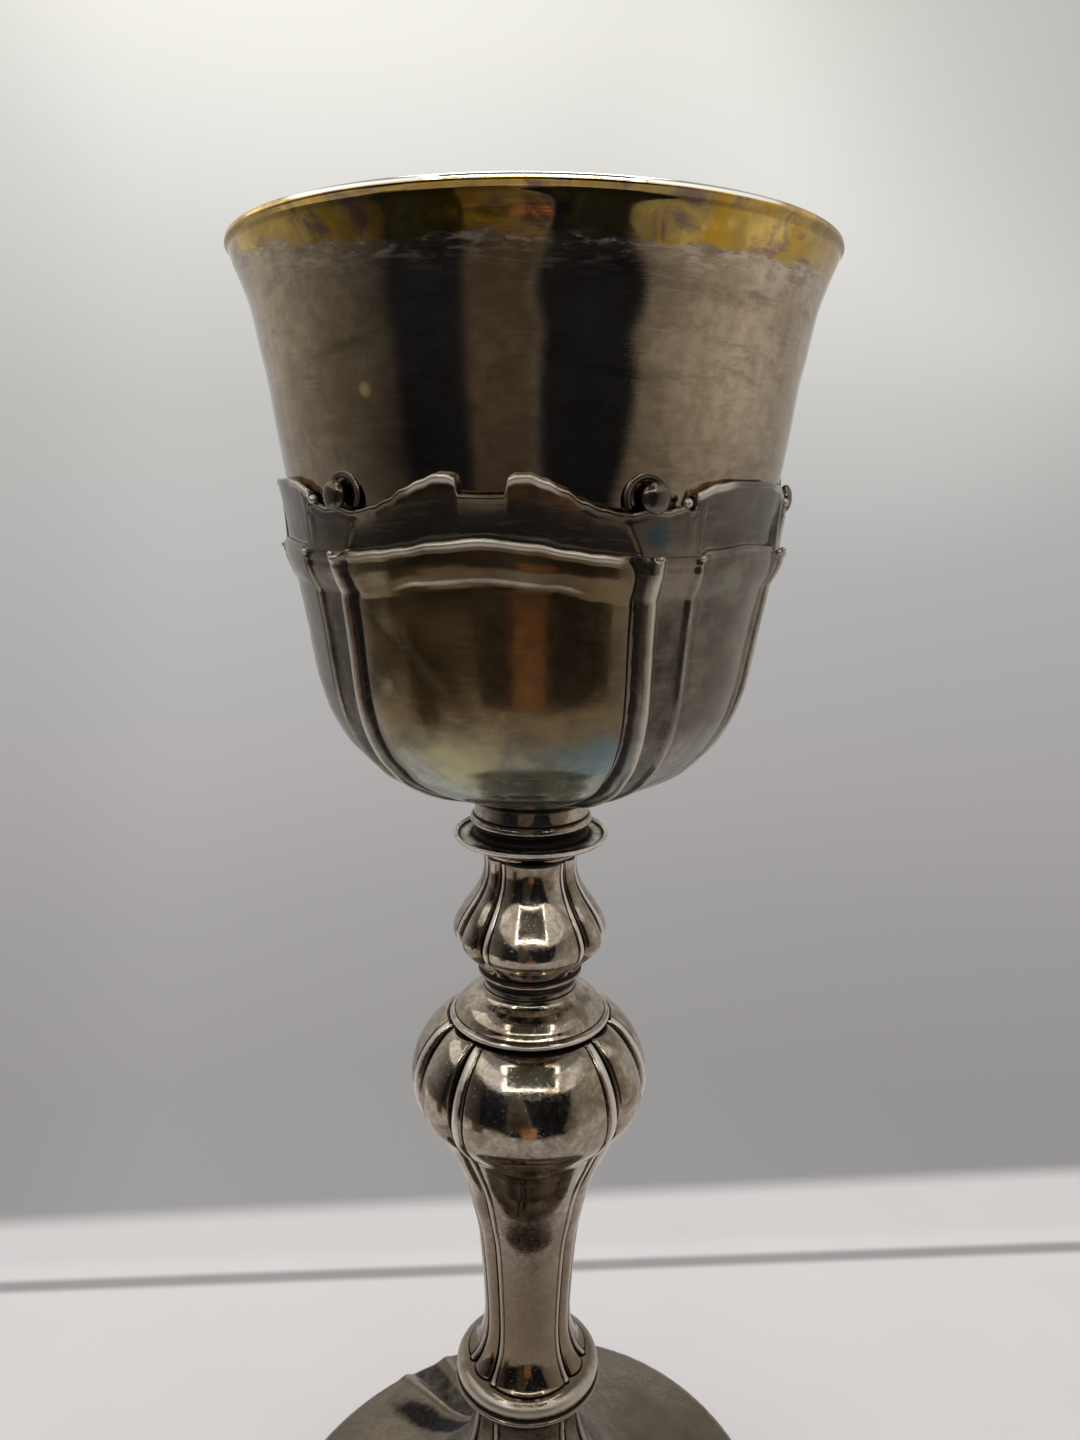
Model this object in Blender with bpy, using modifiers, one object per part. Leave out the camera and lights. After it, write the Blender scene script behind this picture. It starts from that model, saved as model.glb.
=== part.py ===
"""Silver chalice: a gilt-rimmed cup in a pressed calyx, on a lobed baluster stem and a hollow foot.

Every piece is turned from an outline of a few named points, then its lobes and ribs are pressed in
by moving the turned points. Sizes are millimetres measured up from the table, until lathe() makes
them metres. The front of the chalice faces -Y, and the stem's axis is the Z axis.
"""

import math

import bmesh
import bpy
from mathutils import Matrix

MM = 0.001

# ---- driving sizes, mm ----
HEIGHT = 255.0             # table to rim
RIM_RADIUS = 44.0
FOOT_RADIUS = 62.0
SEAM = 0.3                 # clearance between pieces that sit on each other
CUP_WALL = 1.0
CALYX_WALL = 1.0
FOOT_WALL = 1.4
REPEATS = 3                # every lobed piece repeats three times round the axis

# ---- heights of the joints between pieces, mm above the table ----
CALYX_BASE = 173.1
COLLAR_BASE = 163.7
UPPER_KNOP_BASE = 140.0
CAP_BASE = 133.9
PEAR_KNOP_BASE = 65.8
RING_BASE = 61.4

# ---- how far each lobed piece is turned from the front, degrees, positive towards +X ----
CALYX_TURN = -9.5
STEM_TURN = 3.5
FOOT_TURN = -30.0

# ---- stem lobes: a wide lobe with a beaded border, a groove, then a narrow lobe ----
# angles run from the middle of a wide lobe to the middle of the next narrow one
WIDE_LOBE_EDGE = 39.5      # crest of the bead along the wide lobe's border
LOBE_GROOVE = 45.0
GROOVE_DEPTH = 0.085       # as a share of the local radius
BEAD_DIP = 0.018           # fall of the wide lobe just inside its bead
BEAD_FALL = 0.028          # fall from the bead's crest towards the groove

# ---- calyx panels: a wide panel, a ribbed strip, then a narrow panel ----
STRIP_GROOVE = 33.4
STRIP_RIB_NEAR = 36.4
STRIP_RIB_FAR = 46.6
STRIP_MIDDLE = 41.5
RIB_HEIGHT = 0.15
STRIP_DEPTH = 0.55
RIB_GROOVE_DEPTH = 0.6
CALYX_EDGE = 221.6         # mean height of the scrolled edge
BELT_TOP = 214.4           # groove where the edge rises off the belt
BELT_ARCH = 1.7            # rise of the belt in the middle of a wide panel
ARCH_BASE = 200.0          # below this height the wall does not follow the belt's arch
BUD_RADIUS = 1.9
BUD_HALF_THICKNESS = 0.85
BUD_ANGLE = 32.0
BUD_AXIS_DISTANCE = 38.3

# ---- foot: narrow channels between two ribs ----
CHANNEL_RIB = 6.0
CHANNEL_RIB_HEIGHT = 0.7
CHANNEL_DEPTH = 0.9
NECK_SHARE = 0.4           # how much of the channels' depth is left on the neck
SHOULDER_HEIGHT = 21.6

# ---- angles at which each kind of piece has points, in one half repeat, degrees ----
PLAIN_SEGMENTS = 28
CUP_SEGMENTS = 40
HALF_REPEAT = 180.0 / REPEATS
LOBE_STATIONS = (0.0, 18.0, 34.0, WIDE_LOBE_EDGE, 42.5, LOBE_GROOVE, 50.0)
CALYX_STATIONS = (0.0, 4.4, 6.2, 11.5, 18.5, 26.0, STRIP_GROOVE, STRIP_RIB_NEAR, STRIP_MIDDLE,
                  STRIP_RIB_FAR)
FOOT_STATIONS = (0.0, 3.6, CHANNEL_RIB, 8.8, 20.0, 33.0, 46.0)


# ---- outlines: lists of (radius, height) in mm ----

def spline(knots, steps):
    """Points on a smooth curve through the knots, with `steps` points from each knot to the next."""
    ends = [knots[0]] + list(knots) + [knots[-1]]
    points = []
    for before, start, end, after in zip(ends, ends[1:], ends[2:], ends[3:]):
        for step in range(steps):
            t = step / steps
            points.append(tuple(catmull_rom(*values, t) for values in zip(before, start, end, after)))
    points.append(tuple(knots[-1]))
    return points


def catmull_rom(before, start, end, after, t):
    """One coordinate of the curve from start to end, at t from 0 to 1."""
    return 0.5 * (2.0 * start + (end - before) * t
                  + (2.0 * before - 5.0 * start + 4.0 * end - after) * t ** 2
                  + (3.0 * start - before - 3.0 * end + after) * t ** 3)


def interpolate(knots, x):
    """Value at x of a curve through (x, value) knots, eased from each knot to the next."""
    for (x0, v0), (x1, v1) in zip(knots, knots[1:]):
        if x <= x1:
            t = (x - x0) / (x1 - x0)
            return v0 + (v1 - v0) * t * t * (3.0 - 2.0 * t)
    return knots[-1][1]


def parallel(outline, distance):
    """The outline moved inwards by a wall's thickness, and turned to run back up."""
    inner = []
    for index, (radius, height) in enumerate(outline):
        r0, z0 = outline[max(index - 1, 0)]
        r1, z1 = outline[min(index + 1, len(outline) - 1)]
        run = math.hypot(r1 - r0, z1 - z0)
        inner.append((max(radius + (z1 - z0) / run * distance, 0.0), height - (r1 - r0) / run * distance))
    return inner[::-1]


def capped(outline):
    """The outline of a solid piece, closed to the axis at its top and its base."""
    return [(0.0, outline[0][1])] + outline + [(0.0, outline[-1][1])]


# ---- turning and pressing ----

def round_stations(half):
    """All the angles round the axis, from one half repeat mirrored and repeated."""
    repeat = list(half) + [HALF_REPEAT] + [2.0 * HALF_REPEAT - angle for angle in reversed(half[1:])]
    return [angle + 2.0 * HALF_REPEAT * index for index in range(REPEATS) for angle in repeat]


def folded(angle):
    """An angle brought back into one half repeat, 0 to 60 degrees."""
    return abs((angle + HALF_REPEAT) % (2.0 * HALF_REPEAT) - HALF_REPEAT)


def lathe(name, outline, segments, material, collection):
    """Turn an outline about Z. It runs down its outer side, so the faces point outwards."""
    mesh = bpy.data.meshes.new(name)
    points = [(radius * MM, 0.0, height * MM) for radius, height in outline]
    mesh.from_pydata(points, [(index, index + 1) for index in range(len(points) - 1)], [])
    piece = bpy.data.objects.new(name, mesh)
    collection.objects.link(piece)
    piece.data.materials.append(material)
    turn = piece.modifiers.new("Turn", "SCREW")
    turn.angle = math.tau
    turn.steps = segments
    turn.render_steps = segments
    turn.use_merge_vertices = True
    turn.merge_threshold = 0.00001
    turn.use_smooth_shade = True
    return piece


def press(piece, stations, turn, relief):
    """Move the turned points to their stations, and in or out by relief(angle, radius, height)."""
    evaluated = piece.evaluated_get(bpy.context.evaluated_depsgraph_get())
    mesh = bpy.data.meshes.new_from_object(evaluated)
    piece.modifiers.clear()
    count = len(stations)
    for vertex in mesh.vertices:
        radius = math.hypot(vertex.co.x, vertex.co.y) / MM
        height = vertex.co.z / MM
        if radius < 0.01:
            continue
        index = round(math.atan2(vertex.co.y, vertex.co.x) / math.tau * count) % count
        angle = folded(stations[index])
        radius, height = relief(angle, radius, height)
        around = math.radians(stations[index] + turn - 90.0)
        vertex.co = (radius * MM * math.cos(around), radius * MM * math.sin(around), height * MM)
    piece.data = mesh


# ---- reliefs ----

def lobe_relief(angle, radius, height):
    """The stem's wide and narrow lobes, in proportion to the local radius."""
    share = interpolate([(0.0, 0.0), (18.0, -0.3 * BEAD_DIP), (34.0, -BEAD_DIP), (WIDE_LOBE_EDGE, 0.0),
                         (42.5, -BEAD_FALL), (LOBE_GROOVE, -GROOVE_DEPTH), (50.0, -BEAD_FALL),
                         (HALF_REPEAT, 0.0)], angle)
    return radius * (1.0 + share), height


def lobed_between(base, top, fade):
    """lobe_relief that dies away over `fade` mm at a piece's plain turned ends."""
    def relief(angle, radius, height):
        pressed, _ = lobe_relief(angle, radius, height)
        depth = min(max((height - base) / fade, 0.0), max((top - height) / fade, 0.0), 1.0)
        return radius + (pressed - radius) * depth, height
    return relief


def scrolled_edge(angle):
    """Height of the calyx's edge: a notch, a wave, a bud's seat, then a petal, mm above the table."""
    return CALYX_EDGE + interpolate(
        [(0.0, -0.3), (4.4, -0.2), (6.2, 1.7), (9.0, 1.9), (18.5, -0.9), (26.0, -2.5),
         (STRIP_GROOVE, -0.6), (STRIP_MIDDLE, -1.6), (STRIP_RIB_FAR, 0.4), (HALF_REPEAT, 1.4)], angle)


def calyx_relief(angle, radius, height):
    """Ribbed strips between the panels, and the scrolled edge above the belt."""
    below_belt_top = min(max((BELT_TOP - height) / 3.0, 0.0), 1.0)
    arch = interpolate([(0.0, BELT_ARCH), (18.5, 0.0), (HALF_REPEAT, 0.0)], angle)
    if height > BELT_TOP:
        share = (height - BELT_TOP) / (CALYX_EDGE - BELT_TOP)
        height = (BELT_TOP + arch) * (1.0 - share) + scrolled_edge(angle) * share
    else:
        height += arch * min(max((height - ARCH_BASE) / (BELT_TOP - ARCH_BASE), 0.0), 1.0)
    step = interpolate([(0.0, 0.0), (30.0, 0.0), (STRIP_GROOVE, -RIB_GROOVE_DEPTH),
                        (STRIP_RIB_NEAR, RIB_HEIGHT), (STRIP_MIDDLE, -STRIP_DEPTH),
                        (STRIP_RIB_FAR, RIB_HEIGHT), (50.0, 0.0), (HALF_REPEAT, 0.0)], angle)
    narrowing = min(max((radius - 12.0) / 16.0, 0.0), 1.0)
    return radius + step * narrowing * below_belt_top, height


def foot_relief(angle, radius, height):
    """Narrow channels with a rib along each side, from the neck down to the shoulder."""
    step = interpolate([(0.0, -CHANNEL_DEPTH), (3.6, -CHANNEL_DEPTH), (CHANNEL_RIB, CHANNEL_RIB_HEIGHT),
                        (8.8, 0.0), (HALF_REPEAT, 0.0)], angle)
    above_shoulder = min(max((height - SHOULDER_HEIGHT + 1.0) / 4.0, 0.0), 1.0)
    below_ring = min(max((RING_BASE - SEAM - height) / 3.0, 0.0), 1.0)
    on_dome = min(max((radius - 12.0) / 14.0, 0.0), 1.0)
    step *= above_shoulder * below_ring
    return radius + NECK_SHARE * step * (1.0 - on_dome), height + step * on_dome


# ---- the pieces ----

def cup(material, collection):
    """A thin bell-shaped cup, open at the rim, whose bowl stands inside the calyx."""
    floor = CALYX_BASE + CALYX_WALL + 1.5 * SEAM
    bell = spline([(RIM_RADIUS, HEIGHT), (40.6, 244.0), (36.5, 220.6)], 2)
    bowl = [(33.9, 207.5), (31.0, 194.0), (25.2, 183.8), (14.5, 177.2)]
    inner = parallel(bell + bowl, CUP_WALL)
    inner[-1] = (RIM_RADIUS - CUP_WALL, HEIGHT)
    outline = [(0.0, floor + CUP_WALL)] + inner + bell + bowl + [(0.0, floor)]
    return lathe("cup", outline, CUP_SEGMENTS, material, collection)


def calyx(material, collection):
    """A false cup of pressed sheet round the bowl, with a belt, ribbed strips and a scrolled edge."""
    edge = [(38.0, CALYX_EDGE), (38.5, CALYX_EDGE - 0.9), (37.0, BELT_TOP)]
    belt = [(37.6, BELT_TOP - 0.9), (37.5, BELT_TOP - 2.9)]
    wall = [(36.4, 209.6), (34.6, 200.5), (32.5, 190.0), (28.5, 182.6), (22.8, 177.9), (15.0, 175.0)]
    inner = parallel(wall, CALYX_WALL)
    lining = [(36.2, BELT_TOP - 2.9), (35.9, BELT_TOP), (37.45, CALYX_EDGE - 0.4)]
    seat = [(9.6, CALYX_BASE), (0.0, CALYX_BASE)]
    outline = [(0.0, CALYX_BASE + CALYX_WALL)] + inner + lining + edge + belt + wall + seat
    stations = round_stations(CALYX_STATIONS)
    piece = lathe("calyx", outline, len(stations), material, collection)
    press(piece, stations, CALYX_TURN, calyx_relief)
    return piece


def calyx_buds(cutters):
    """One round, slightly domed bud on each ribbed strip, standing on the calyx's edge."""
    mesh = bpy.data.meshes.new("calyx_buds")
    shape = bmesh.new()
    for repeat in range(REPEATS):
        for side in (-1.0, 1.0):
            angle = math.radians(CALYX_TURN + 2.0 * HALF_REPEAT * repeat + side * BUD_ANGLE - 90.0)
            place = (Matrix.Rotation(angle, 4, "Z")
                     @ Matrix.Translation((BUD_AXIS_DISTANCE * MM, 0.0, CALYX_EDGE * MM))
                     @ Matrix.Diagonal((BUD_HALF_THICKNESS / BUD_RADIUS, 1.0, 1.0, 1.0)))
            bmesh.ops.create_icosphere(shape, subdivisions=2, radius=BUD_RADIUS * MM, matrix=place)
    shape.to_mesh(mesh)
    shape.free()
    buds = bpy.data.objects.new("calyx_buds", mesh)
    buds.hide_render = True
    buds.display_type = "WIRE"
    cutters.objects.link(buds)
    return buds


def fuse(piece, addition):
    """Join another solid onto a piece, as one casting."""
    join = piece.modifiers.new("Fuse", "BOOLEAN")
    join.operation = "UNION"
    join.solver = "EXACT"
    join.object = addition


def collar(material, collection):
    """The turned neck under the bowl, with a fine ring and a saucer-shaped flange."""
    neck = [(9.3, CALYX_BASE - SEAM), (9.3, 170.2), (9.9, 169.2), (9.7, 168.2)]
    flange = [(12.1, 167.6), (12.7, 166.9), (12.1, 166.3), (8.6, 165.2)]
    return lathe("collar", capped(neck + flange + [(8.1, COLLAR_BASE)]), PLAIN_SEGMENTS, material, collection)


def upper_knop(material, collection):
    """A small lobed baluster, with a fine ring turned below its lobes."""
    body = [(7.75, COLLAR_BASE - SEAM), (7.7, 160.4), (8.6, 157.0), (10.8, 153.6), (12.8, 150.8),
            (12.9, 148.8), (11.4, 146.4), (8.8, 143.8)]
    foot = [(8.4, 142.0), (7.5, 141.2), (7.9, UPPER_KNOP_BASE)]
    stations = round_stations(LOBE_STATIONS)
    piece = lathe("upper_knop", capped(body + foot), len(stations), material, collection)
    press(piece, stations, STEM_TURN, lobed_between(142.6, COLLAR_BASE + 4.0, 2.0))
    return piece


def knop_cap(material, collection):
    """The small domed disc that covers the top of the pear-shaped knop."""
    dome = [(7.9, UPPER_KNOP_BASE - SEAM), (9.2, 138.3), (11.9, 136.5), (13.4, 134.7), (12.8, CAP_BASE)]
    return lathe("knop_cap", capped(dome), PLAIN_SEGMENTS, material, collection)


def pear_knop(material, collection):
    """The large lobed knop, drawn down into a slender waisted stem."""
    body = spline([(12.6, CAP_BASE - SEAM), (16.4, 131.9), (19.9, 123.4), (16.3, 115.5), (11.1, 106.6),
                   (9.1, 93.5), (7.8, 76.5), (8.4, 70.4), (10.7, PEAR_KNOP_BASE)], 2)
    stations = round_stations(LOBE_STATIONS)
    piece = lathe("pear_knop", capped(body), len(stations), material, collection)
    press(piece, stations, STEM_TURN, lobed_between(PEAR_KNOP_BASE - 2.0, CAP_BASE + 2.0, 2.0))
    return piece


def base_ring(material, collection):
    """The moulded ring on which the stem stands."""
    ring = [(11.0, PEAR_KNOP_BASE - SEAM), (11.6, 65.3), (12.8, 64.3), (13.2, 63.3), (13.3, 62.4),
            (12.4, RING_BASE)]
    return lathe("base_ring", capped(ring), PLAIN_SEGMENTS, material, collection)


def foot(material, collection):
    """A hollow domed foot with a fluted neck, ribbed channels, a rounded shoulder and a flat rim."""
    neck = [(9.8, RING_BASE - SEAM), (9.4, 54.0), (11.3, 46.0), (15.0, 39.6), (20.6, 33.2), (28.0, 29.6)]
    dome = [(38.0, 26.8), (46.5, 23.9), (49.8, SHOULDER_HEIGHT)]
    step = [(50.5, 17.5), (52.0, 11.6), (57.0, 7.0)]
    rim = [(58.2, 4.6), (FOOT_RADIUS, 3.0), (FOOT_RADIUS, 0.0), (56.4, 0.0)]
    hollow = parallel([neck[2], neck[4], dome[0], dome[2], step[1]], FOOT_WALL)
    outline = [(0.0, RING_BASE - SEAM)] + neck + dome + step + rim + hollow + [(0.0, hollow[-1][1])]
    stations = round_stations(FOOT_STATIONS)
    piece = lathe("foot", outline, len(stations), material, collection)
    press(piece, stations, FOOT_TURN, foot_relief)
    return piece


# ---- materials and scene ----

def metal(name, colour, roughness):
    """A metal with a Principled BSDF."""
    material = bpy.data.materials.new(name)
    material.use_nodes = True
    shader = material.node_tree.nodes["Principled BSDF"]
    shader.inputs["Base Color"].default_value = (*colour, 1.0)
    shader.inputs["Metallic"].default_value = 1.0
    shader.inputs["Roughness"].default_value = roughness
    return material


def new_collection(name):
    """A collection linked to the scene."""
    collection = bpy.data.collections.new(name)
    bpy.context.scene.collection.children.link(collection)
    return collection


def build():
    """Clear the scene and make the chalice."""
    for old in list(bpy.data.objects):
        bpy.data.objects.remove(old, do_unlink=True)
    chalice = new_collection("chalice")
    cutters = new_collection("chalice_cutters")
    cup(metal("cup_silver", (0.42, 0.38, 0.33), 0.3), chalice)
    cast_calyx = calyx(metal("calyx_silver", (0.30, 0.26, 0.20), 0.25), chalice)
    fuse(cast_calyx, calyx_buds(cutters))
    collar(metal("collar_silver", (0.45, 0.42, 0.37), 0.25), chalice)
    upper_knop(metal("upper_knop_silver", (0.50, 0.46, 0.41), 0.2), chalice)
    knop_cap(metal("knop_cap_silver", (0.45, 0.41, 0.35), 0.25), chalice)
    pear_knop(metal("pear_knop_silver", (0.50, 0.46, 0.41), 0.2), chalice)
    base_ring(metal("base_ring_silver", (0.48, 0.43, 0.37), 0.25), chalice)
    foot(metal("foot_silver", (0.38, 0.35, 0.31), 0.35), chalice)


build()
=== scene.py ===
# %% [markdown]
# # A silver chalice, piece by piece
# A chalice is raised, turned, pressed and cast in separate pieces, which a rod through the stem
# holds together. This lesson makes each of them the way its maker would: an outline is turned on
# the lathe first, then lobes, ribs and scrolls are worked into the turned form. Each finish is
# mixed from a few small effects at the end: scratches, tarnish, grime in the hollows, wear, and a
# few painted highlights and shades.
# The imported model gives the place and the size of every piece, so nothing has to be fitted by eye.

import bpy
import numpy as np
from mathutils import Matrix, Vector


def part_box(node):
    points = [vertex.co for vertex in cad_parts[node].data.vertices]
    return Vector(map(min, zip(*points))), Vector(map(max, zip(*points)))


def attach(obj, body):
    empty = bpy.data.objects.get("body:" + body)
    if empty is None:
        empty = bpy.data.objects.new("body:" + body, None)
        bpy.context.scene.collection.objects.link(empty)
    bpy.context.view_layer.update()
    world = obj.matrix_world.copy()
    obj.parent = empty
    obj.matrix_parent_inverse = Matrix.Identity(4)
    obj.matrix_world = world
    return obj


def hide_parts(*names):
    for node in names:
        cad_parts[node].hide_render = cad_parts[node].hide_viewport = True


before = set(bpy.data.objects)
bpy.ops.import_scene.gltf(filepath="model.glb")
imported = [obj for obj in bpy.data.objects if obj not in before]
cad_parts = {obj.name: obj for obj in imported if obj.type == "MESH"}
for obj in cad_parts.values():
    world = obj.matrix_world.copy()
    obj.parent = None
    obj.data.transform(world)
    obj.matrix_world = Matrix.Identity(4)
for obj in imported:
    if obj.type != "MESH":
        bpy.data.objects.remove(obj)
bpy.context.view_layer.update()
MM = 0.001
print("nodes to dress:", sorted(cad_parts))

# %% [markdown]
# ## Curves from a few knots
# A maker's drawing of a turned piece is half of its section: a line of radii and heights. A line
# typed point by point would look faceted, and a Bezier curve needs handles that nobody wants to
# tune. A Catmull-Rom curve passes through every knot and needs none. Steps in the relief round the
# axis are eased from knot to knot instead, because there a smooth curve would overshoot.

# %% Outline and relief curves
def smooth_line(knots, steps):
    """A Catmull-Rom curve through (radius, height) knots, with `steps` points from knot to knot."""
    knots = np.array(knots, float)
    ends = np.vstack([2 * knots[0] - knots[1], knots, 2 * knots[-1] - knots[-2]])
    t = np.linspace(0.0, 1.0, steps, endpoint=False)[:, None]
    parts = [0.5 * (2 * b + (c - a) * t + (2 * a - 5 * b + 4 * c - d) * t ** 2
                    + (3 * b - a - 3 * c + d) * t ** 3)
             for a, b, c, d in zip(ends, ends[1:], ends[2:], ends[3:])]
    return np.vstack(parts + [knots[-1:]])


def eased(x, knots):
    """Values at x of a line through (x, value) knots that levels out at every knot."""
    at, value = np.array(knots, float).T
    x = np.clip(x, at[0], at[-1])
    i = np.clip(np.searchsorted(at, x, side="right") - 1, 0, len(at) - 2)
    t = (x - at[i]) / (at[i + 1] - at[i])
    return value[i] + (value[i + 1] - value[i]) * t * t * (3.0 - 2.0 * t)


def rising(x, start, end, least=0.0):
    """0 at the start, 1 at the end, straight between them and held beyond; never under `least`."""
    return np.clip((x - start) / (end - start), least, 1.0)


def bump(x, centre, half_width):
    """A rounded bump, 1 at its centre and 0 from half_width away."""
    t = rising(np.abs(x - centre), 0.0, half_width)
    return 1.0 - t * t * (3.0 - 2.0 * t)


def directions(line):
    """The direction in which a line runs at each of its points."""
    step = np.gradient(line, axis=0)
    return step / np.linalg.norm(step, axis=1)[:, None]


def offset_inwards(line, distance):
    """The same line moved to the axis side by a wall's thickness, and turned to run back up."""
    step = directions(line)
    moved = line + np.stack([step[:, 1], -step[:, 0]], axis=1) * distance
    moved[:, 0] = np.maximum(moved[:, 0], 0.0)
    return moved[::-1]


print("curve test:", smooth_line([(1, 0), (2, 1), (1, 2)], 2).round(2).tolist())

# %% [markdown]
# ## The lathe
# Blender's Screw modifier turns an outline too, but here every turned point is needed with its
# angle and height, so that reliefs can move it before the faces are made. The lathe below makes
# rings of points from the outline, lets a `press` function move them, and joins the rings. It also
# keeps two numbers on every point: how deep it lies in a hollow, and how far it stands on a ridge.
# The finishes read them later, to put grime and painted shade in the hollows and wear on the
# ridges.

# %% Turn an outline into a mesh
def turned(name, line, angles, press):
    """Turn (radius, height) points, in mm, through the angles, in degrees from the front to +X."""
    angle, radius = np.meshgrid(angles, line[:, 0])
    height = np.repeat(line[:, 1][:, None], len(angles), axis=1)
    radius, height, hollow, ridge = press(angle, radius, height)
    around = np.radians(angle)
    spots = np.stack([radius * np.sin(around), -radius * np.cos(around), height], axis=2) * MM
    verts, faces, marks, rows = [], [], [], []
    for r in range(len(line)):
        pole = line[r, 0] <= 0.0
        count = 1 if pole else len(angles)
        rows.append((len(verts), pole))
        verts.extend(spots[r, :count].tolist())
        marks.extend(zip(hollow[r, :count].tolist(), ridge[r, :count].tolist()))
    for (top, top_pole), (low, low_pole) in zip(rows, rows[1:]):
        for c in range(len(angles)):
            d = (c + 1) % len(angles)
            if top_pole:
                faces.append((top, low + c, low + d))
            elif low_pole:
                faces.append((top + c, low, top + d))
            else:
                faces.append((top + c, low + c, low + d, top + d))
    mesh = bpy.data.meshes.new(name)
    mesh.from_pydata(verts, [], faces)
    for label, values in zip(("hollow", "ridge"), np.array(marks, np.float32).T):
        layer = mesh.attributes.new(label, "FLOAT", "POINT")
        layer.data.foreach_set("value", np.ascontiguousarray(values))
    mesh.shade_smooth()
    piece = bpy.data.objects.new(name, mesh)
    bpy.context.scene.collection.objects.link(piece)
    print(f"{name}: {len(faces)} faces")
    return piece


def even_angles(count):
    """Evenly spaced angles all the way round."""
    return np.arange(count) * 360.0 / count


def node_heights(node):
    """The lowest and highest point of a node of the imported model, in mm."""
    low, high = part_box(node)
    return low.z / MM, high.z / MM


# %% [markdown]
# ## The cup
# The cup is one thin bell of silver. Its lip is rolled a little, its wall is about a millimetre
# thick, and its bowl stands inside the calyx. It could be a surface with a Solidify modifier, but
# the lip would then have two sharp edges: here the lip is a half circle that joins both walls.
# Hammering leaves the wall very slightly uneven, and that is what makes the reflections on raised
# silver wander. A few long, shallow waves do that; they are far too shallow to see directly.

# %% Make the cup
CUP_WALL, CUP_UNEVEN = 1.0, 0.07
WAVES = [(0.45, 3, 0.09, 0.7), (0.3, 5, -0.16, 0.0), (0.25, 9, 0.23, 2.1), (0.2, 14, -0.31, 4.0)]
cup_base, rim_height = node_heights("cup")
rim_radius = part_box("cup")[1].x / MM


def hammered(angle, height, depth):
    """Long shallow waves of a hand-raised wall: (share, waves round, slant, start) for each."""
    return depth * sum(share * np.sin(count * np.radians(angle) + slant * height + start)
                       for share, count, slant, start in WAVES)


def press_cup(angle, radius, height):
    """The unevenness of hammering, which dies away at the lip; the inside counts as a hollow."""
    away = rising(height, rim_height, rim_height - 6.0) * rising(radius, 8.0, 28.0)
    radius = radius + hammered(angle, height, CUP_UNEVEN) * away
    # the lip's mark, front and back only: worn silver and a painted highlight
    lip = rising(height, rim_height - 0.8, rim_height - 0.55)
    lip = lip * rising(np.abs(np.cos(np.radians(angle))), 0.7, 0.8)
    inside = np.arange(len(radius))[:, None] <= len(inner_wall) + 3
    return radius, height, inside * np.ones_like(radius), lip


bell = smooth_line([
    (rim_radius, rim_height - 0.5), (rim_radius, rim_height - 0.95), (43.5, 253.5), (43.3, 252.6),
    (42.1, 249.6), (41.0, 246.2), (40.0, 241.0), (39.1, 236.6), (38.2, 230.4), (37.3, 224.6),
    (36.5, 220.0), (34.2, 208.0), (31.3, 194.4), (25.4, 184.0), (14.7, 177.6)], 7)
inner_wall = offset_inwards(bell, CUP_WALL)
lip_middle = (bell[0] + inner_wall[-1]) / 2.0
lip_turn = np.radians(np.linspace(180.0, 0.0, 9))[1:-1]
lip_half = np.linalg.norm(bell[0] - inner_wall[-1]) / 2.0
lip = lip_middle + lip_half * np.stack([np.cos(lip_turn), np.sin(lip_turn)], axis=1)
lip[:, 1] += rim_height - lip[:, 1].max()
cup_line = np.vstack([[0.0, inner_wall[0, 1]], inner_wall, lip, bell, [0.0, cup_base]])
cup_bell = turned("cup_bell", cup_line, even_angles(192), press_cup)

# %% [markdown]
# ## The calyx: where its points have to be
# The calyx is a false cup of pressed sheet. Going round from the middle of a wide panel there is
# a notch in its edge, a wave, a flat strip between two ribs that carries a bud, then half of a
# narrow panel with a petal on top; then all of it is mirrored, three times round. The notch and the
# ribs have steep sides, so points are set close together there and further apart elsewhere, as a
# chaser works finer tools only where the pattern needs them.

# %% Angles of the calyx's points
CALYX_TURN = -9.5
HALF_REPEAT = 60.0


def round_angles(turn, *runs):
    """Angles all round from the runs of one half repeat, each (end, step) from the last end on."""
    starts = [0.0, *(end for end, step in runs)]
    half = [np.arange(start, end, step) for start, (end, step) in zip(starts, runs)]
    half = np.unique(np.round(np.concatenate(half + [[HALF_REPEAT]]), 3))
    repeat = np.concatenate([half, (2 * HALF_REPEAT - half)[::-1][1:-1]])
    return np.concatenate([repeat + 2 * HALF_REPEAT * k for k in range(3)]) + turn


def from_middle(angle):
    """The angle from the middle of the nearest wide panel, -60 to 60 degrees."""
    return (angle + HALF_REPEAT) % (2 * HALF_REPEAT) - HALF_REPEAT


calyx_angles = round_angles(CALYX_TURN, (4.0, 0.8), (6.4, 0.24), (26.0, 0.85), (31.6, 0.45),
                            (38.8, 0.36), (44.0, 0.3), (50.0, 0.4), (60.0, 1.0))
print("calyx:", len(calyx_angles), "points round the axis")

# %% [markdown]
# ## The calyx: what the pattern does
# Each feature of the pattern is one line through a few knots: at this angle from the middle of a
# wide panel, this height above the base, or this far in or out of the sheet. Going down, the sheet
# has a rounded lip, a hollow neck, a belt with a raised upper line, and the wall of the bowl. At
# the strips the belt's line turns down into the rib, a little sooner on one side of each panel.
# A zone keeps its share of the points whatever the edge does above it, so the wavy edge follows.

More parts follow.
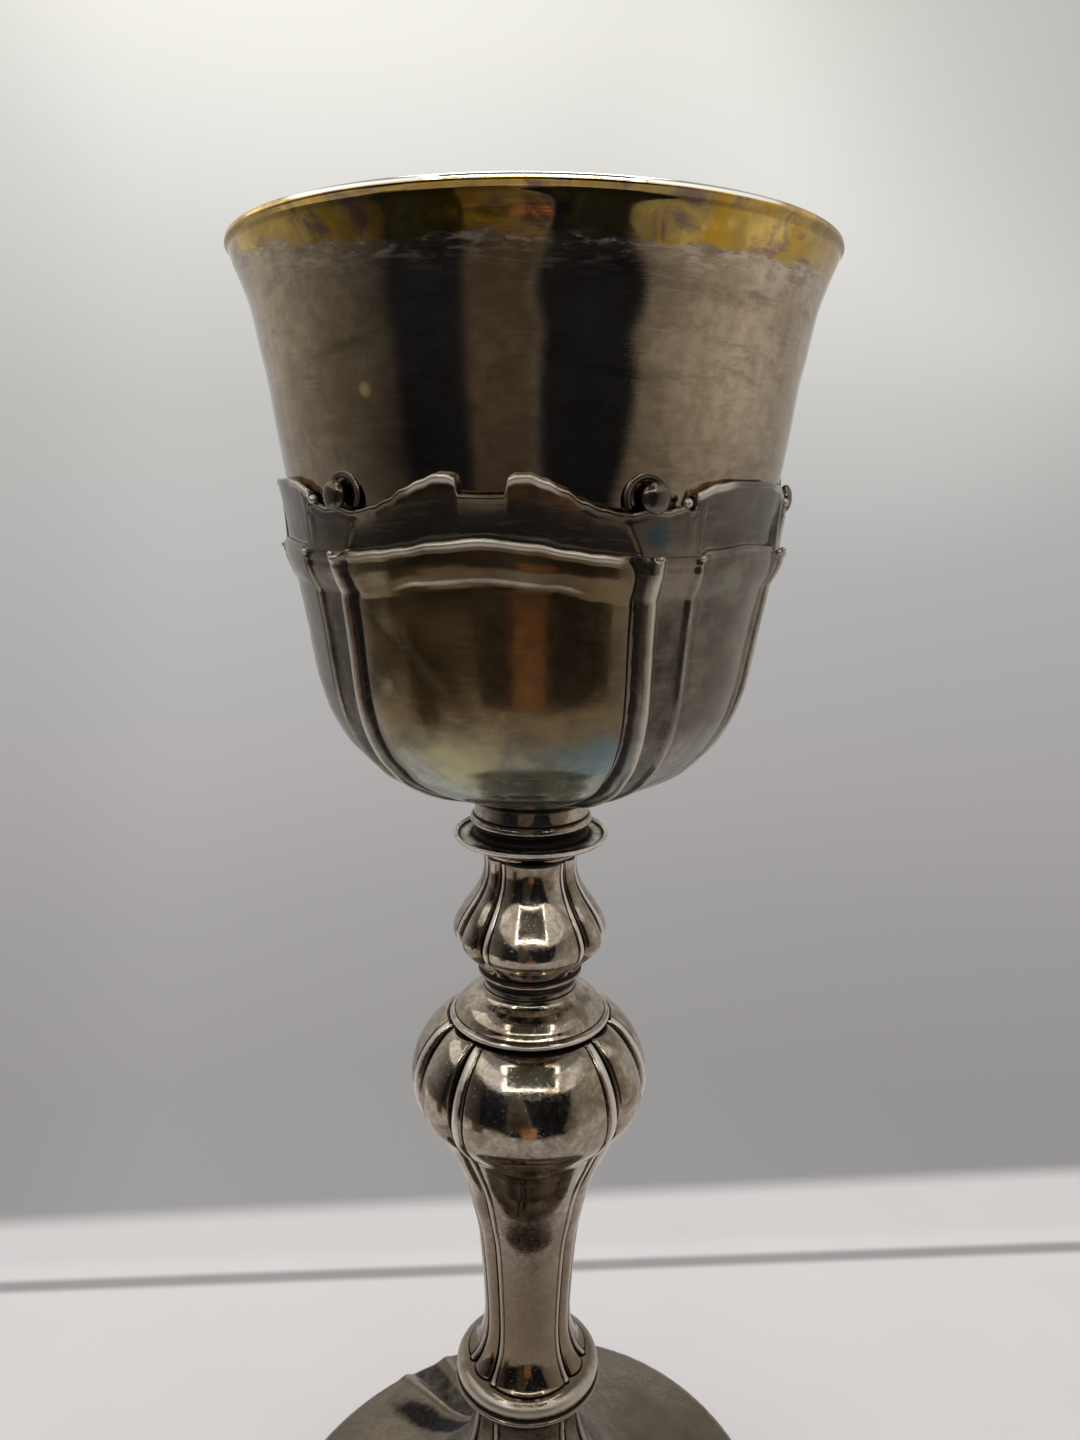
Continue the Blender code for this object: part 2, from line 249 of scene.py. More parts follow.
# %% Heights of the calyx's lines, in mm above its base
SHEET, WALL_START = 1.0, 35.5
calyx_base = node_heights("calyx")[0]
EDGE_WAVE = [(0.0, 47.95), (4.2, 48.0), (5.1, 50.05), (6.4, 50.35), (8.8, 50.4), (11.5, 49.7),
             (15.2, 48.7), (18.5, 47.4), (22.0, 46.55), (26.0, 46.0), (28.0, 45.9), (31.5, 46.4),
             (35.4, 46.2), (38.3, 46.6), (39.6, 46.9), (40.8, 46.2), (41.7, 46.2), (42.6, 48.5),
             (47.5, 49.5), (53.2, 49.9), (60.0, 49.85)]
BELT_TOP = [(0.0, 42.6), (10.0, 42.0), (16.0, 41.2), (22.0, 40.7), (28.0, 40.3),
            (33.0, 40.0), (44.0, 40.0), (47.0, 40.7), (60.0, 41.2)]
BELT_LOW = [(0.0, 37.5), (14.0, 36.8), (22.0, 35.7), (30.0, 35.0), (44.0, 35.1), (60.0, 36.2)]
LINE_END = [(44.0, 0.28), (46.0, 0.35), (60.0, 0.35)]
BELT_LINE = [(0.0, 0.8), (24.0, 0.7), (30.2, 0.0), (33.0, 0.0), (34.5, 0.28), *LINE_END]
BELT_LINE_TURNED = [(0.0, 0.8), (18.0, 0.65), (26.0, 0.5), (33.6, 0.5), (35.6, 0.28), *LINE_END]
LIP_WEAR = [(0.0, 0.45), (4.0, 0.35), (5.2, 1.0), (11.0, 1.0), (16.0, 0.5), (28.0, 0.35),
            (42.0, 0.5), (43.0, 1.0), (49.0, 0.9), (54.0, 0.4), (60.0, 0.3)]
print("calyx edge between", round(calyx_base + 45.9, 1), "and", round(calyx_base + 50.4, 1), "mm")

# %% The smooth wall below the belt, and the ribs that stand on it
wall = smooth_line([
    (36.3, 37.6), (36.08, 36.2), (35.84, 34.8), (35.55, 33.2), (34.75, 29.0), (33.85, 23.4),
    (33.1, 19.6), (31.95, 15.9), (30.7, 13.3), (29.2, 10.9), (27.4, 8.95), (25.4, 6.9),
    (22.8, 5.2), (19.6, 3.6), (16.0, 2.2), (12.6, 1.0), (9.6, 0.0)], 5)


def on_wall(height):
    """Radius of the smooth wall at a height, and how far out and up its surface faces there."""
    rows = np.column_stack([wall, directions(wall)])[::-1]
    radius, up, down = (np.interp(height, rows[:, 1], rows[:, column]) for column in (0, 2, 3))
    return radius, -down, up


def ribbed(f, radius, height, width):
    """How far the strips' ribs and grooves stand in or out of the wall, mm, and the same as marks.
    The near groove was cut by hand, and is wider on one side of every panel than on the other."""
    lean = rising(height, 37.0, 4.0)
    degree = 57.3 / np.maximum(radius, 8.0)
    near, far = 34.2 + 4.0 * lean, 44.4 + 2.9 * lean
    corner = rising(height, 37.5, 40.5) ** 2
    cut = near - (0.6 + (1.3 + 0.7 * corner) * width) * degree
    groove = bump(f, cut, (1.3 + 0.8 * corner) * width * degree) * (1.0 - corner * (width < 0.9))
    near_rib, far_rib = bump(f, near, 1.4 * degree), bump(f, far, 1.1 * degree)
    strip = rising(f, near, near + degree) * rising(f, far, far - degree)
    roll = rising(f, cut - 3.6 * degree, cut) ** 2 * (f <= cut)
    step_down = bump(f, far + 1.15 * degree, 0.45 * degree)
    out = (0.55 * near_rib + 0.3 * far_rib - 0.85 * groove - 0.25 * strip - 0.5 * roll
           - 0.14 * step_down)
    dark = 0.12 + 0.32 * rising(lean, 0.0, 0.15)
    hollow = np.clip(groove + 0.1 * step_down + dark * strip, 0.0, 1.0)
    return out, hollow, np.clip(near_rib + 0.55 * far_rib, 0.0, 1.0)


print("calyx wall:", len(wall), "rows, widest", wall[:, 0].max(), "mm from the axis")

# %% [markdown]
# ## The calyx: putting it together
# The rows of points are listed from the inside bottom, up the inner wall, over the lip and down the
# outside. `press_calyx` gets the row of every point, so it can treat each zone in its own way.
# Sculpting the relief into a plain bowl would be the other way, but then no line could be moved
# by changing one number.

# %% Rows of the calyx's points
LIP_RADIUS, LIP_MIDDLE, NECK_RADIUS, BELT_RADIUS, STRIP_RADIUS = 0.42, 37.95, 36.95, 37.35, 37.6
BELT_FULL = 0.74
lip_rows = np.radians(np.linspace(165.0, -60.0, 10))
neck_rows = np.linspace(1.0, 0.0, 11)[1:]
belt_rows = np.linspace(1.0, 0.0, 22)
wall_rows = wall[wall[:, 1] < WALL_START - 0.3]
inner_rows = offset_inwards(wall[::4], SHEET)[:-1]
ROWS = np.cumsum([1 + len(inner_rows), *map(len, (lip_rows, neck_rows, belt_rows, wall_rows))])
print("last rows of the inside, lip, neck, belt and wall:", ROWS.tolist())

# %% Press and turn the calyx
NARROW_GROOVE, WIDE_GROOVE, CALYX_UNEVEN = 0.65, 1.0, 0.05


def press_calyx(angle, radius, height):
    """Shape each zone of rows: the inside, the lip, the neck, the belt and the wall."""
    side = from_middle(angle - CALYX_TURN)
    f, width = np.abs(side), np.where(side < 0.0, NARROW_GROOVE, WIDE_GROOVE)
    edge, top, low = eased(f, EDGE_WAVE), eased(f, BELT_TOP), eased(f, BELT_LOW)
    hollow, ridge, flare = np.zeros_like(radius), np.zeros_like(radius), np.zeros_like(radius)
    inside, lips, necks, belts, walls = (slice(a, b) for a, b in zip([0, *ROWS], ROWS))
    flare[lips], flare[necks] = 1.0, neck_rows[:, None]
    pillar = rising(f, 29.4 - 3.4 * flare, 30.4 - 3.4 * flare) * rising(f, 45.2, 44.4)
    neck = NECK_RADIUS + 0.65 * pillar

    # the inside leans out to meet the lip only near the top
    rise = rising(height[inside], 0.0, 34.0) ** 6
    height[inside] += (edge[inside] - 1.2 - 36.0) * rise
    radius[inside] = np.minimum(radius[inside], 36.9) + 1.3 * rise

    # the lip is a small roll that follows the wavy edge
    turn = lip_rows[:, None]
    radius[lips] = LIP_MIDDLE - 0.15 * pillar[lips] + LIP_RADIUS * np.cos(turn)
    height[lips] = edge[lips] - LIP_RADIUS + LIP_RADIUS * np.sin(turn)
    ridge[lips] = eased(f, LIP_WEAR)[lips]

    # the neck hollows in under the lip, except on the strips
    share = neck_rows[:, None]
    start, end = edge[necks] - LIP_RADIUS * 1.7, top[necks] + 0.55
    height[necks] = end + (start - end) * share
    radius[necks] = neck[necks] + (LIP_MIDDLE + 0.3 - neck[necks]) * share ** 1.5
    # the neck's hollow mark darkens it later: grime and painted shade under the lip
    deep = rising(f[necks], 47.0, 43.0, 0.35)
    hollow[necks] = 0.9 * (1.0 - share) ** 0.6 * (1.0 - pillar[necks]) * deep

    # the belt swells out from the wall to its raised line, and runs flat over the strips
    b = belt_rows[:, None]
    height[belts] = low[belts] + (top[belts] + 0.5 - low[belts]) * b
    at_low, at_wall = on_wall(low[belts])[0], on_wall(height[belts])[0]
    full = 1.0 - (1.0 - rising(b, 0.0, BELT_FULL)) ** 2
    band = at_low + 0.12 + (BELT_RADIUS - at_low) * full - 0.15 * rising(b, BELT_FULL, 0.8)
    strip = at_wall + (STRIP_RADIUS - at_wall) * rising(b, 0.0, 0.625)
    line = bump(b, 0.86, 0.17)
    line_height = np.where(width < 0.9, eased(f, BELT_LINE_TURNED), eased(f, BELT_LINE))[belts]
    plain = band * (1.0 - pillar[belts]) + strip * pillar[belts] + line_height * line
    out, dark, high = ribbed(f[belts], plain, height[belts], width[belts])
    into_neck = rising(b, 1.0, 0.88)
    radius[belts] = plain + out * into_neck
    hollow[belts] = np.maximum(dark * into_neck, 0.6 * bump(b, 1.0, 0.06))
    low_line = 0.75 * bump(b, 0.03, 0.12) * rising(f[belts], 27.0, 17.0, 0.25)
    ridge[belts] = np.maximum(np.maximum(high * into_neck, line * line_height / 0.7),
                              low_line * (1.0 - pillar[belts]))

    # the wall stretches a little so that its top row meets the belt, and carries the ribs
    nominal = height[walls]
    height[walls] = nominal + (low[walls] - WALL_START - 0.25) * rising(nominal, 22.0, WALL_START)
    smooth, outwards, upwards = on_wall(height[walls])
    out, hollow[walls], ridge[walls] = ribbed(f[walls], smooth, height[walls], width[walls])
    fade, flat = rising(smooth, 11.0, 18.0), rising(height[walls], 5.0, 25.0, 0.15)
    waves = hammered(angle[walls], height[walls], CALYX_UNEVEN) * flat
    radius[walls] = smooth + (out * outwards + waves) * fade
    height[walls] += out * upwards * fade
    return radius, height + calyx_base, hollow, ridge


calyx_line = np.vstack([[[0.0, 1.0]], inner_rows,
                        np.full((len(lip_rows) + len(neck_rows) + len(belt_rows), 2), 37.0),
                        wall_rows, [[0.0, 0.0]]])
calyx_sheet = turned("calyx_sheet", calyx_line, calyx_angles, press_calyx)

# %% [markdown]
# ## Node trees from a few short helpers
# Geometry Nodes suit what repeats round the axis: the buds of the calyx, and the lobes of the
# stem, which follow one rule on three different pieces. Shader nodes are wired the same way, so
# both kinds of tree share these helpers. Python lets a class say what + and * mean, so a sum of
# sockets is written here as a sum, and each sign in it becomes one Math node.

# %% Wires: outputs that can be reckoned with
class Wire:
    """A node's output that can be reckoned with: every + - * / makes a Math node."""

    def __init__(self, socket):
        self.socket, self.tree = socket, socket.id_data

    def __add__(self, other):
        return maths("ADD", self, other)

    def __sub__(self, other):
        return maths("SUBTRACT", self, other)

    def __rsub__(self, other):
        return maths("SUBTRACT", other, self)

    def __mul__(self, other):
        return maths("MULTIPLY", self, other)

    def __truediv__(self, other):
        return maths("DIVIDE", self, other)

    def __rtruediv__(self, other):
        return maths("DIVIDE", other, self)

    def __neg__(self):
        return self * -1.0

    __radd__, __rmul__ = __add__, __mul__


def feed(value, socket):
    """Link a wire to an input, or set a plain value on it."""
    if isinstance(value, Wire):
        value.tree.links.new(value.socket, socket)
    else:
        socket.default_value = value


def add_node(kind, values=(), output=0, tree=None, **settings):
    """A node in the tree of its wired values; returns one of its outputs."""
    values = dict(values)
    tree = tree or next(value.tree for value in values.values() if isinstance(value, Wire))
    new = tree.nodes.new(kind)
    for key, value in settings.items():
        setattr(new, key, value)
    for key, value in values.items():
        feed(value, new.inputs[key])
    return Wire(new.outputs[output])


def maths(operation, *values):
    """The result of a Math node."""
    return add_node("ShaderNodeMath", enumerate(values), operation=operation)


print("wires reckon with:", [step for step in ("add", "sub", "mul", "truediv", "neg")
                             if hasattr(Wire, f"__{step}__")])


# %% Short names for the nodes used most
def ranged(value, low, high, at_low=0.0, at_high=1.0, kind="SMOOTHSTEP"):
    """A value carried from low..high to at_low..at_high, and held at the ends."""
    return add_node("ShaderNodeMapRange", enumerate((value, low, high, at_low, at_high)),
                    interpolation_type=kind)


def combined(x=0.0, y=0.0, z=0.0):
    """A place from its three coordinates, at least one of them wired."""
    return add_node("ShaderNodeCombineXYZ", enumerate((x, y, z)))


def split(place):
    """The three coordinates of a place."""
    first = add_node("ShaderNodeSeparateXYZ", {0: place})
    return [Wire(socket) for socket in first.socket.node.outputs]


print("short names:", [step.__name__ for step in (maths, ranged, combined, split)])


# %% Trees with named sockets, and the metals they dress pieces in
def new_tree(name, kind, inputs, outputs):
    """A node group with named sockets. A number is a socket's own value, a word is its kind."""
    tree = bpy.data.node_groups.new(name, kind)
    for way, sockets in (("INPUT", inputs), ("OUTPUT", outputs)):
        for label, value in sockets.items():
            word = {int: "Int", float: "Float", str: value}[type(value)]
            made = tree.interface.new_socket(label, in_out=way, socket_type="NodeSocket" + word)
            if word != value:
                made.default_value = value
    print(f"tree '{name}' takes", ", ".join(inputs))
    start = tree.nodes.new("NodeGroupInput")
    given = {label: Wire(start.outputs[label]) for label in inputs}
    return tree, given, tree.nodes.new("NodeGroupOutput").inputs


def end_tree(shape, given, result):
    """The last steps of every shape's tree: real faces instead of copies, and their metal."""
    real = add_node("GeometryNodeRealizeInstances", {"Geometry": shape})
    feed(add_node("GeometryNodeSetMaterial", {"Geometry": real, "Material": given["Metal"]}),
         result["Geometry"])


def grown(piece, tree, metal, values):
    """Run a Geometry Nodes tree on a piece with its named inputs; keep the result as its mesh."""
    modifier = piece.modifiers.new(tree.name, "NODES")
    modifier.node_group = tree
    sockets = {item.name: item.identifier for item in tree.interface.items_tree
               if item.in_out == "INPUT"}
    for label, value in {**values, "Metal": METALS[metal]}.items():
        modifier[sockets[label]] = value
    graph = bpy.context.evaluated_depsgraph_get()
    mesh = bpy.data.meshes.new_from_object(piece.evaluated_get(graph), depsgraph=graph)
    piece.modifiers.clear()
    piece.data = mesh
    mesh.shade_smooth()
    print(f"{piece.name}: {len(mesh.polygons)} faces after '{tree.name}'")


METALS = {}
for name in ("cup_metal", "calyx_metal", "stem_metal", "foot_metal"):
    METALS[name] = bpy.data.materials.new(name)
    METALS[name].use_nodes = True
print("materials:", list(METALS))

# %% [markdown]
# ## The buds on the calyx
# On each ribbed strip stands a small flat bud under a raised loop of flat wire, a scroll's tip
# closes the petal beside it, and a pearl sits where each rib meets the belt. The maker would cast
# or solder them on one by one. Six copies of the same things are placed by a rule, so they are
# instances on six points: the tree makes the points on a circle, turns each one outwards, and sets
# the things on them. Realize Instances turns the copies into real faces.

# %% Tree: things set round the calyx's edge
LOOP_START, LOOP_SWEEP = np.radians(-28.0), np.radians(236.0)


def bud_tree(sizes):
    """Buds, loops of flat wire and pearls, set in mirrored pairs round the calyx's edge."""
    tree, given, result = new_tree("set buds round the edge", "GeometryNodeTree", {
        "Geometry": "Geometry", "Repeats": 3, **dict.fromkeys(sizes, 0.0), "Metal": "Material"},
        {"Geometry": "Geometry"})
    index = add_node("GeometryNodeInputIndex", tree=tree)
    step = maths("FLOOR", index / 2.0) * (360.0 / given["Repeats"])
    mirror = maths("MODULO", index, 2.0) * 2.0 - 1.0
    joined = tree.nodes.new("GeometryNodeJoinGeometry")
    rings = []

    def set_round(thing, angle, distance, height, wear):
        """Two mirrored copies of a thing on every repeat, facing outwards, rubbed by a share."""
        points = add_node("GeometryNodeMeshLine", {"Count": given["Repeats"] * 2.0})
        turn = maths("RADIANS", given["Turn"] + step + mirror * given[angle])
        far = given[distance]
        spot = combined(far * maths("SINE", turn), -far * maths("COSINE", turn), given[height])
        points = add_node("GeometryNodeSetPosition", {"Geometry": points, "Position": spot})
        facing = add_node("FunctionNodeEulerToRotation", {0: combined(z=turn)})
        rubbed = add_node("GeometryNodeStoreNamedAttribute", {
            "Geometry": thing, "Name": "ridge", "Value": wear}, data_type="FLOAT")
        rings.append(add_node("GeometryNodeInstanceOnPoints", {
            "Points": points, "Instance": rubbed, "Rotation": facing}))

    ball = add_node("GeometryNodeMeshIcoSphere", {"Radius": given["Bud radius"], "Subdivisions": 4})
    bud = add_node("GeometryNodeTransform", {
        "Geometry": ball, "Scale": combined(1.0, given["Bud thickness"], 1.0)})
    set_round(bud, "Bud angle", "Bud distance", "Bud height", 0.35)

    arc = add_node("GeometryNodeCurveArc", {
        "Resolution": 28, "Radius": given["Loop radius"], "Start Angle": LOOP_START,
        "Sweep Angle": LOOP_SWEEP}, mode="RADIUS")
    wire = add_node("GeometryNodeCurvePrimitiveCircle", {
        "Resolution": 10, "Radius": given["Wire radius"]})
    strap = add_node("GeometryNodeTransform", {
        "Geometry": wire, "Scale": combined(given["Wire width"], 1.0, 1.0)})
    loop = add_node("GeometryNodeCurveToMesh", {
        "Curve": arc, "Profile Curve": strap, "Fill Caps": True})
    upright = add_node("GeometryNodeTransform", {
        "Geometry": loop, "Rotation": (np.radians(90.0), 0.0, 0.0)})
    set_round(upright, "Loop angle", "Loop distance", "Bud height", 0.45)

    for angle, end in (("Tip angle", "Tip"), ("Near end angle", "End"), ("Far end angle", "End")):
        pearl = add_node("GeometryNodeMeshIcoSphere", {
            "Radius": given[end + " radius"], "Subdivisions": 3})
        set_round(pearl, angle, "Tip distance", end + " height", 0.8)
    for ring in reversed(rings):
        feed(ring, joined.inputs[0])
    end_tree(Wire(joined.outputs[0]), given, result)
    return tree


# %% Grow the buds
bud_sizes = {
    "Turn": CALYX_TURN, "Bud angle": 32.8, "Bud distance": 37.95 * MM,
    "Bud height": (calyx_base + 47.65) * MM, "Bud radius": 2.0 * MM, "Bud thickness": 0.5,
    "Loop angle": 31.8, "Loop distance": 36.95 * MM, "Loop radius": 2.75 * MM,
    "Wire radius": 0.25 * MM, "Wire width": 2.2, "Tip angle": 39.8, "Tip distance": 38.1 * MM,
    "Tip height": (calyx_base + 47.1) * MM, "Tip radius": 0.62 * MM, "Near end angle": 34.3,
    "Far end angle": 44.1, "End height": (calyx_base + 40.2) * MM, "End radius": 0.45 * MM}
calyx_buds = bpy.data.objects.new("calyx_buds", bpy.data.meshes.new("calyx_buds"))
bpy.context.scene.collection.objects.link(calyx_buds)
grown(calyx_buds, bud_tree(bud_sizes), "calyx_metal", bud_sizes)

# %% [markdown]
# ## The collar, the cap and the base ring
# These three are plain turnings, but their small steps are what makes them look turned: a fine
# ring above a dark groove, a saucer with a thin lip, a disc whose edge overhangs the knop, and a
# bead with a fillet under it. Cylinders with a Bevel modifier would lose those steps, so each
# outline goes round them with knots close together.

# %% Turn the plain pieces
def marked(base, hollows, ridges):
    """A press that moves nothing and marks hollows and ridges. A mark is (height above the base,
    half width, share), and its last number, if there is one, is the radius it stays inside."""
    def press(angle, radius, height):
        sums = [np.zeros_like(radius), np.zeros_like(radius)]
        for total, places in zip(sums, (hollows, ridges)):
            for at, half, share, *limit in places:
                total += share * bump(height - base, at, half) * (radius < (limit or [99.0])[0])
        return radius, height, *np.clip(sums, 0.0, 1.0)
    return press


def solid_turning(name, node, knots, hollows, ridges=(), steps=5, angles=even_angles(128)):
    """A solid piece turned from knots whose heights are measured up from the node's base, in mm."""
    base = node_heights(node)[0]
    line = smooth_line(knots, steps) + [0.0, base]
    closed = np.vstack([[0.0, line[0, 1]], line, [0.0, line[-1, 1]]])
    return turned(name, closed, angles, marked(base, hollows, ridges))


# first hollow mark: painted shade in the saucer under the calyx
turned_collar = solid_turning("turned_collar", "collar", [
    (9.2, 9.35), (9.2, 8.2), (9.3, 7.0), (9.5, 6.4), (9.9, 5.9), (10.0, 5.4), (9.85, 5.0),
    (9.35, 4.7), (9.2, 4.1), (9.4, 3.3), (10.2, 2.65), (11.4, 2.55), (12.1, 2.95), (12.5, 3.2),
    (12.75, 3.05), (12.7, 2.6), (12.2, 2.15), (11.2, 1.75), (9.7, 1.3), (8.6, 0.7), (8.15, 0.0)],
    hollows=[(3.6, 1.7, 1.0, 12.0), (9.2, 1.2, 0.8), (6.4, 0.4, 0.7)],
    ridges=[(2.9, 0.6, 1.0), (5.4, 0.4, 0.6)])
# first hollow mark: painted shade at the cap's top, under the knop
domed_cap = solid_turning("domed_cap", "knop_cap", [
    (7.9, 6.05), (7.95, 5.5), (8.2, 5.0), (8.8, 4.55), (9.9, 4.1), (11.0, 3.45), (11.9, 2.6),
    (12.45, 1.75), (12.75, 1.32), (12.95, 1.18), (13.3, 1.1), (13.6, 0.78), (13.6, 0.36),
    (13.3, 0.06), (12.2, 0.0)],
    hollows=[(6.05, 0.55, 0.9), (1.3, 0.2, 0.6)], ridges=[(0.6, 0.75, 1.0)])
moulded_ring = solid_turning("moulded_ring", "base_ring", [
    (10.3, 4.35), (11.1, 4.3), (12.0, 4.0), (12.75, 3.35), (13.05, 2.5), (12.95, 1.65),
    (12.75, 1.2), (12.85, 1.05), (13.2, 0.85), (13.3, 0.55), (13.15, 0.2), (12.6, 0.0)],
    hollows=[(1.1, 0.3, 0.8)], ridges=[(2.9, 2.2, 1.0), (0.5, 0.4, 1.0)])

# %% [markdown]
# ## The lobed knops: one rule for the whole stem
# The stem has three wide lobes with a beaded border and three narrow lobes, with a fine cut groove
# between them. All of it is in proportion to the radius, so the lobes swell with the knop. That
# is a rule, not a shape, so it is a Geometry Nodes tree that works on a turned blank: it finds each
# point's angle, folds it into one half repeat, adds up the lobe's bulge, the bead, the line and the
# groove, and moves the point in or out. It also stores the marks that the finishes read.

# %% Tree: press lobes into a turned blank
STEM_TURN = 3.5


def lobe_tree():
    """Wide and narrow lobes, a beaded border and a cut groove, in shares of the radius."""
    tree, given, result = new_tree("press lobes", "GeometryNodeTree", {
        "Geometry": "Geometry", "Repeats": 3, "Turn": STEM_TURN, "Groove angle": 45.0,
        "Groove width": 3.0, "Groove depth": 0.07, "Bead angle": 40.3, "Bead width": 4.0,
        "Bead height": 0.02, "Line angle": 36.0, "Line width": 1.0, "Line depth": 0.02,
        "Lobe fall": 0.03, "Lobe bulge": 0.05, "Plain below": 0.0, "Fade below": 0.001,
        "Plain above": 1.0, "Fade above": 0.001, "Metal": "Material"}, {"Geometry": "Geometry"})
    # how far each point is from the middle of its wide lobe, in degrees
    x, y, z = split(add_node("GeometryNodeInputPosition", tree=tree))
    half = 180.0 / given["Repeats"]
    angle = maths("DEGREES", maths("ARCTAN2", x, -y))
    fold = maths("ABSOLUTE", maths("WRAP", angle - given["Turn"], half, -half))

    def rounded(label):
        """A rounded mark round the angle that has this label, as wide as its width says."""
        away = maths("ABSOLUTE", fold - given[label + " angle"])
        return ranged(away, 0.0, given[label + " width"], 1.0, 0.0)

    # wide lobes bulge to their middle; narrow ones fall away from the groove first
    groove, bead, line = rounded("Groove"), rounded("Bead"), rounded("Line")
    beyond = maths("GREATER_THAN", fold, given["Groove angle"])
    narrow = ranged(fold, given["Groove angle"], half, 1.0, 0.0, "LINEAR")
    narrow = maths("POWER", narrow, 2.0) * beyond
    near = maths("MINIMUM", fold / given["Groove angle"], 1.0)
    swell = (0.45 - near * near) * (1.0 - beyond + narrow)
    share = (bead * given["Bead height"] + swell * given["Lobe bulge"]
             - groove * given["Groove depth"] - line * given["Line depth"]
             - narrow * given["Lobe fall"])
    # the lobes fade out at both ends of their zone, and every point moves along its radius
    below, above = given["Plain below"], given["Plain above"]
    fade = (ranged(z, below, below + given["Fade below"])
            * ranged(z, above - given["Fade above"], above, 1.0, 0.0))
    factor = share * fade + 1.0
    shape = given["Geometry"]
    for label, value in (("hollow", maths("MAXIMUM", groove, line * 0.8)),
                         ("ridge", maths("MINIMUM", bead * 1.35, 1.0))):
        old = add_node("GeometryNodeInputNamedAttribute", {"Name": label}, tree=tree,
                       data_type="FLOAT")
        shape = add_node("GeometryNodeStoreNamedAttribute", {
            "Geometry": shape, "Name": label, "Value": maths("MAXIMUM", old, value * fade)},
            data_type="FLOAT")
    end_tree(add_node("GeometryNodeSetPosition", {
        "Geometry": shape, "Position": combined(x * factor, y * factor, z)}), given, result)
    return tree


press_lobes = lobe_tree()
lobe_angles = round_angles(STEM_TURN, (34.0, 1.7), (38.4, 0.4), (42.6, 0.7), (47.6, 0.36),
                           (60.0, 1.24))
print("lobes:", len(lobe_angles), "points round the axis")

# %% [markdown]
# ## The two knops
# A silversmith casts such knops hollow and chases their lobes. Here they are blanks turned from
# their outlines, so that one tree can press both. The small one closes its lobes into a cusp above
# a plain ring, and the large one draws its lobes down into the waist and out again towards the
# base ring, where they end above the ring's bead.

# %% Make the knops
knop_base, pear_base = node_heights("upper_knop")[0], node_heights("pear_knop")[0]
small_knop = solid_turning("small_knop", "upper_knop", [
    (8.05, 23.65), (7.75, 22.4), (7.65, 20.8), (7.85, 19.2), (8.4, 17.6), (9.2, 16.1), (10.3, 14.4),
    (11.4, 12.7), (12.3, 11.0), (12.75, 9.5), (12.5, 8.1), (11.6, 6.8), (10.3, 5.5), (9.25, 4.4),
    (8.65, 3.55), (8.5, 3.2), (8.75, 2.85), (8.75, 2.35), (8.3, 2.0), (7.7, 1.5), (7.55, 1.0),
    (7.75, 0.45), (7.9, 0.0)], angles=lobe_angles,
    hollows=[(3.3, 0.8, 1.0), (1.0, 1.0, 0.6), (23.4, 0.7, 1.0)], ridges=[(2.6, 0.5, 0.3)])
grown(small_knop, press_lobes, "stem_metal", {
    "Plain below": (knop_base + 3.2) * MM, "Fade below": 0.0012,
    "Plain above": (knop_base + 27.0) * MM, "Fade above": 0.002, "Groove width": 3.2,
    "Groove depth": 0.075, "Lobe bulge": 0.13, "Bead angle": 40.0, "Bead width": 4.2,
    "Line width": 1.2})
# second hollow mark: painted shadow under the cap's overhanging edge
large_knop = solid_turning("large_knop", "pear_knop", [
    (11.6, 67.9), (13.9, 67.8), (15.1, 67.2), (16.4, 66.05), (17.85, 64.2), (18.95, 62.3),
    (19.75, 60.3), (20.2, 58.3), (20.3, 56.4), (20.0, 54.5), (19.25, 52.5), (17.95, 50.5),
    (16.1, 48.2), (14.9, 45.8), (13.65, 43.2), (12.35, 40.3), (11.3, 37.0), (10.35, 33.0),
    (9.2, 28.0), (8.6, 23.0), (8.2, 18.0), (7.9, 13.0), (7.8, 9.5), (7.95, 6.6), (8.4, 4.3),
    (9.2, 2.2), (10.1, 0.8), (10.9, 0.0)], steps=4, angles=lobe_angles,
    hollows=[(0.0, 0.45, 0.9), (68.0, 1.2, 0.9, 14.0)])
grown(large_knop, press_lobes, "stem_metal", {
    "Plain below": (pear_base - 3.0) * MM, "Plain above": (pear_base + 72.0) * MM,
    "Groove depth": 0.065, "Lobe bulge": 0.075, "Line depth": 0.016})

# %% [markdown]
# ## The foot
# The foot is one hollow shell: a neck, a shallow dome, a rounded shoulder, a cove and a flat rim.
# Three channels run out over the dome, each between two ribs. They are pressed straight up or down
# on the dome and in or out on the neck. The lobes of the stem run on down the neck and die away
# where the dome begins, so the same Geometry Nodes tree is used once more with a long fade.

# %% Make the foot
FOOT_TURN, FOOT_WALL = -30.0, 1.4
CHANNEL_HALF, RIB_ANGLE = 2.6, 6.3
RIB_RISE, CHANNEL_FALL = 0.75, 0.85
neck_top = node_heights("foot")[1]
foot_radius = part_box("foot")[1].x / MM
outside = smooth_line([
    (9.9, neck_top), (9.6, 59.0), (9.45, 56.5), (9.6, 53.0), (10.3, 49.3), (11.7, 45.3),
    (13.9, 41.1), (16.8, 37.2), (20.6, 33.6), (26.0, 30.6), (33.0, 28.3), (39.5, 26.3),
    (45.0, 24.2), (48.2, 22.8), (49.7, 21.2), (50.2, 19.2), (50.3, 17.0), (50.8, 14.2),
    (52.0, 11.3), (54.2, 8.8), (57.0, 7.3), (58.2, 6.9), (58.6, 6.3), (58.5, 5.3), (59.3, 4.6),
    (60.9, 3.9), (61.7, 3.1), (foot_radius, 1.9), (foot_radius, 0.7), (61.6, 0.05)], 5)
shell = outside[(outside[:, 0] > 16.0) & (outside[:, 1] > 6.0)]
hollow_side = offset_inwards(shell[::3], FOOT_WALL)
foot_line = np.vstack([[0.0, neck_top], outside, [[61.2, 0.0], [56.8, 0.0], [56.4, 0.4]],
                       hollow_side, [0.0, hollow_side[-1, 1]]])
foot_angles = round_angles(FOOT_TURN, (2.4, 0.8), (9.6, 0.48), (14.0, 1.1), (60.0, 1.15))
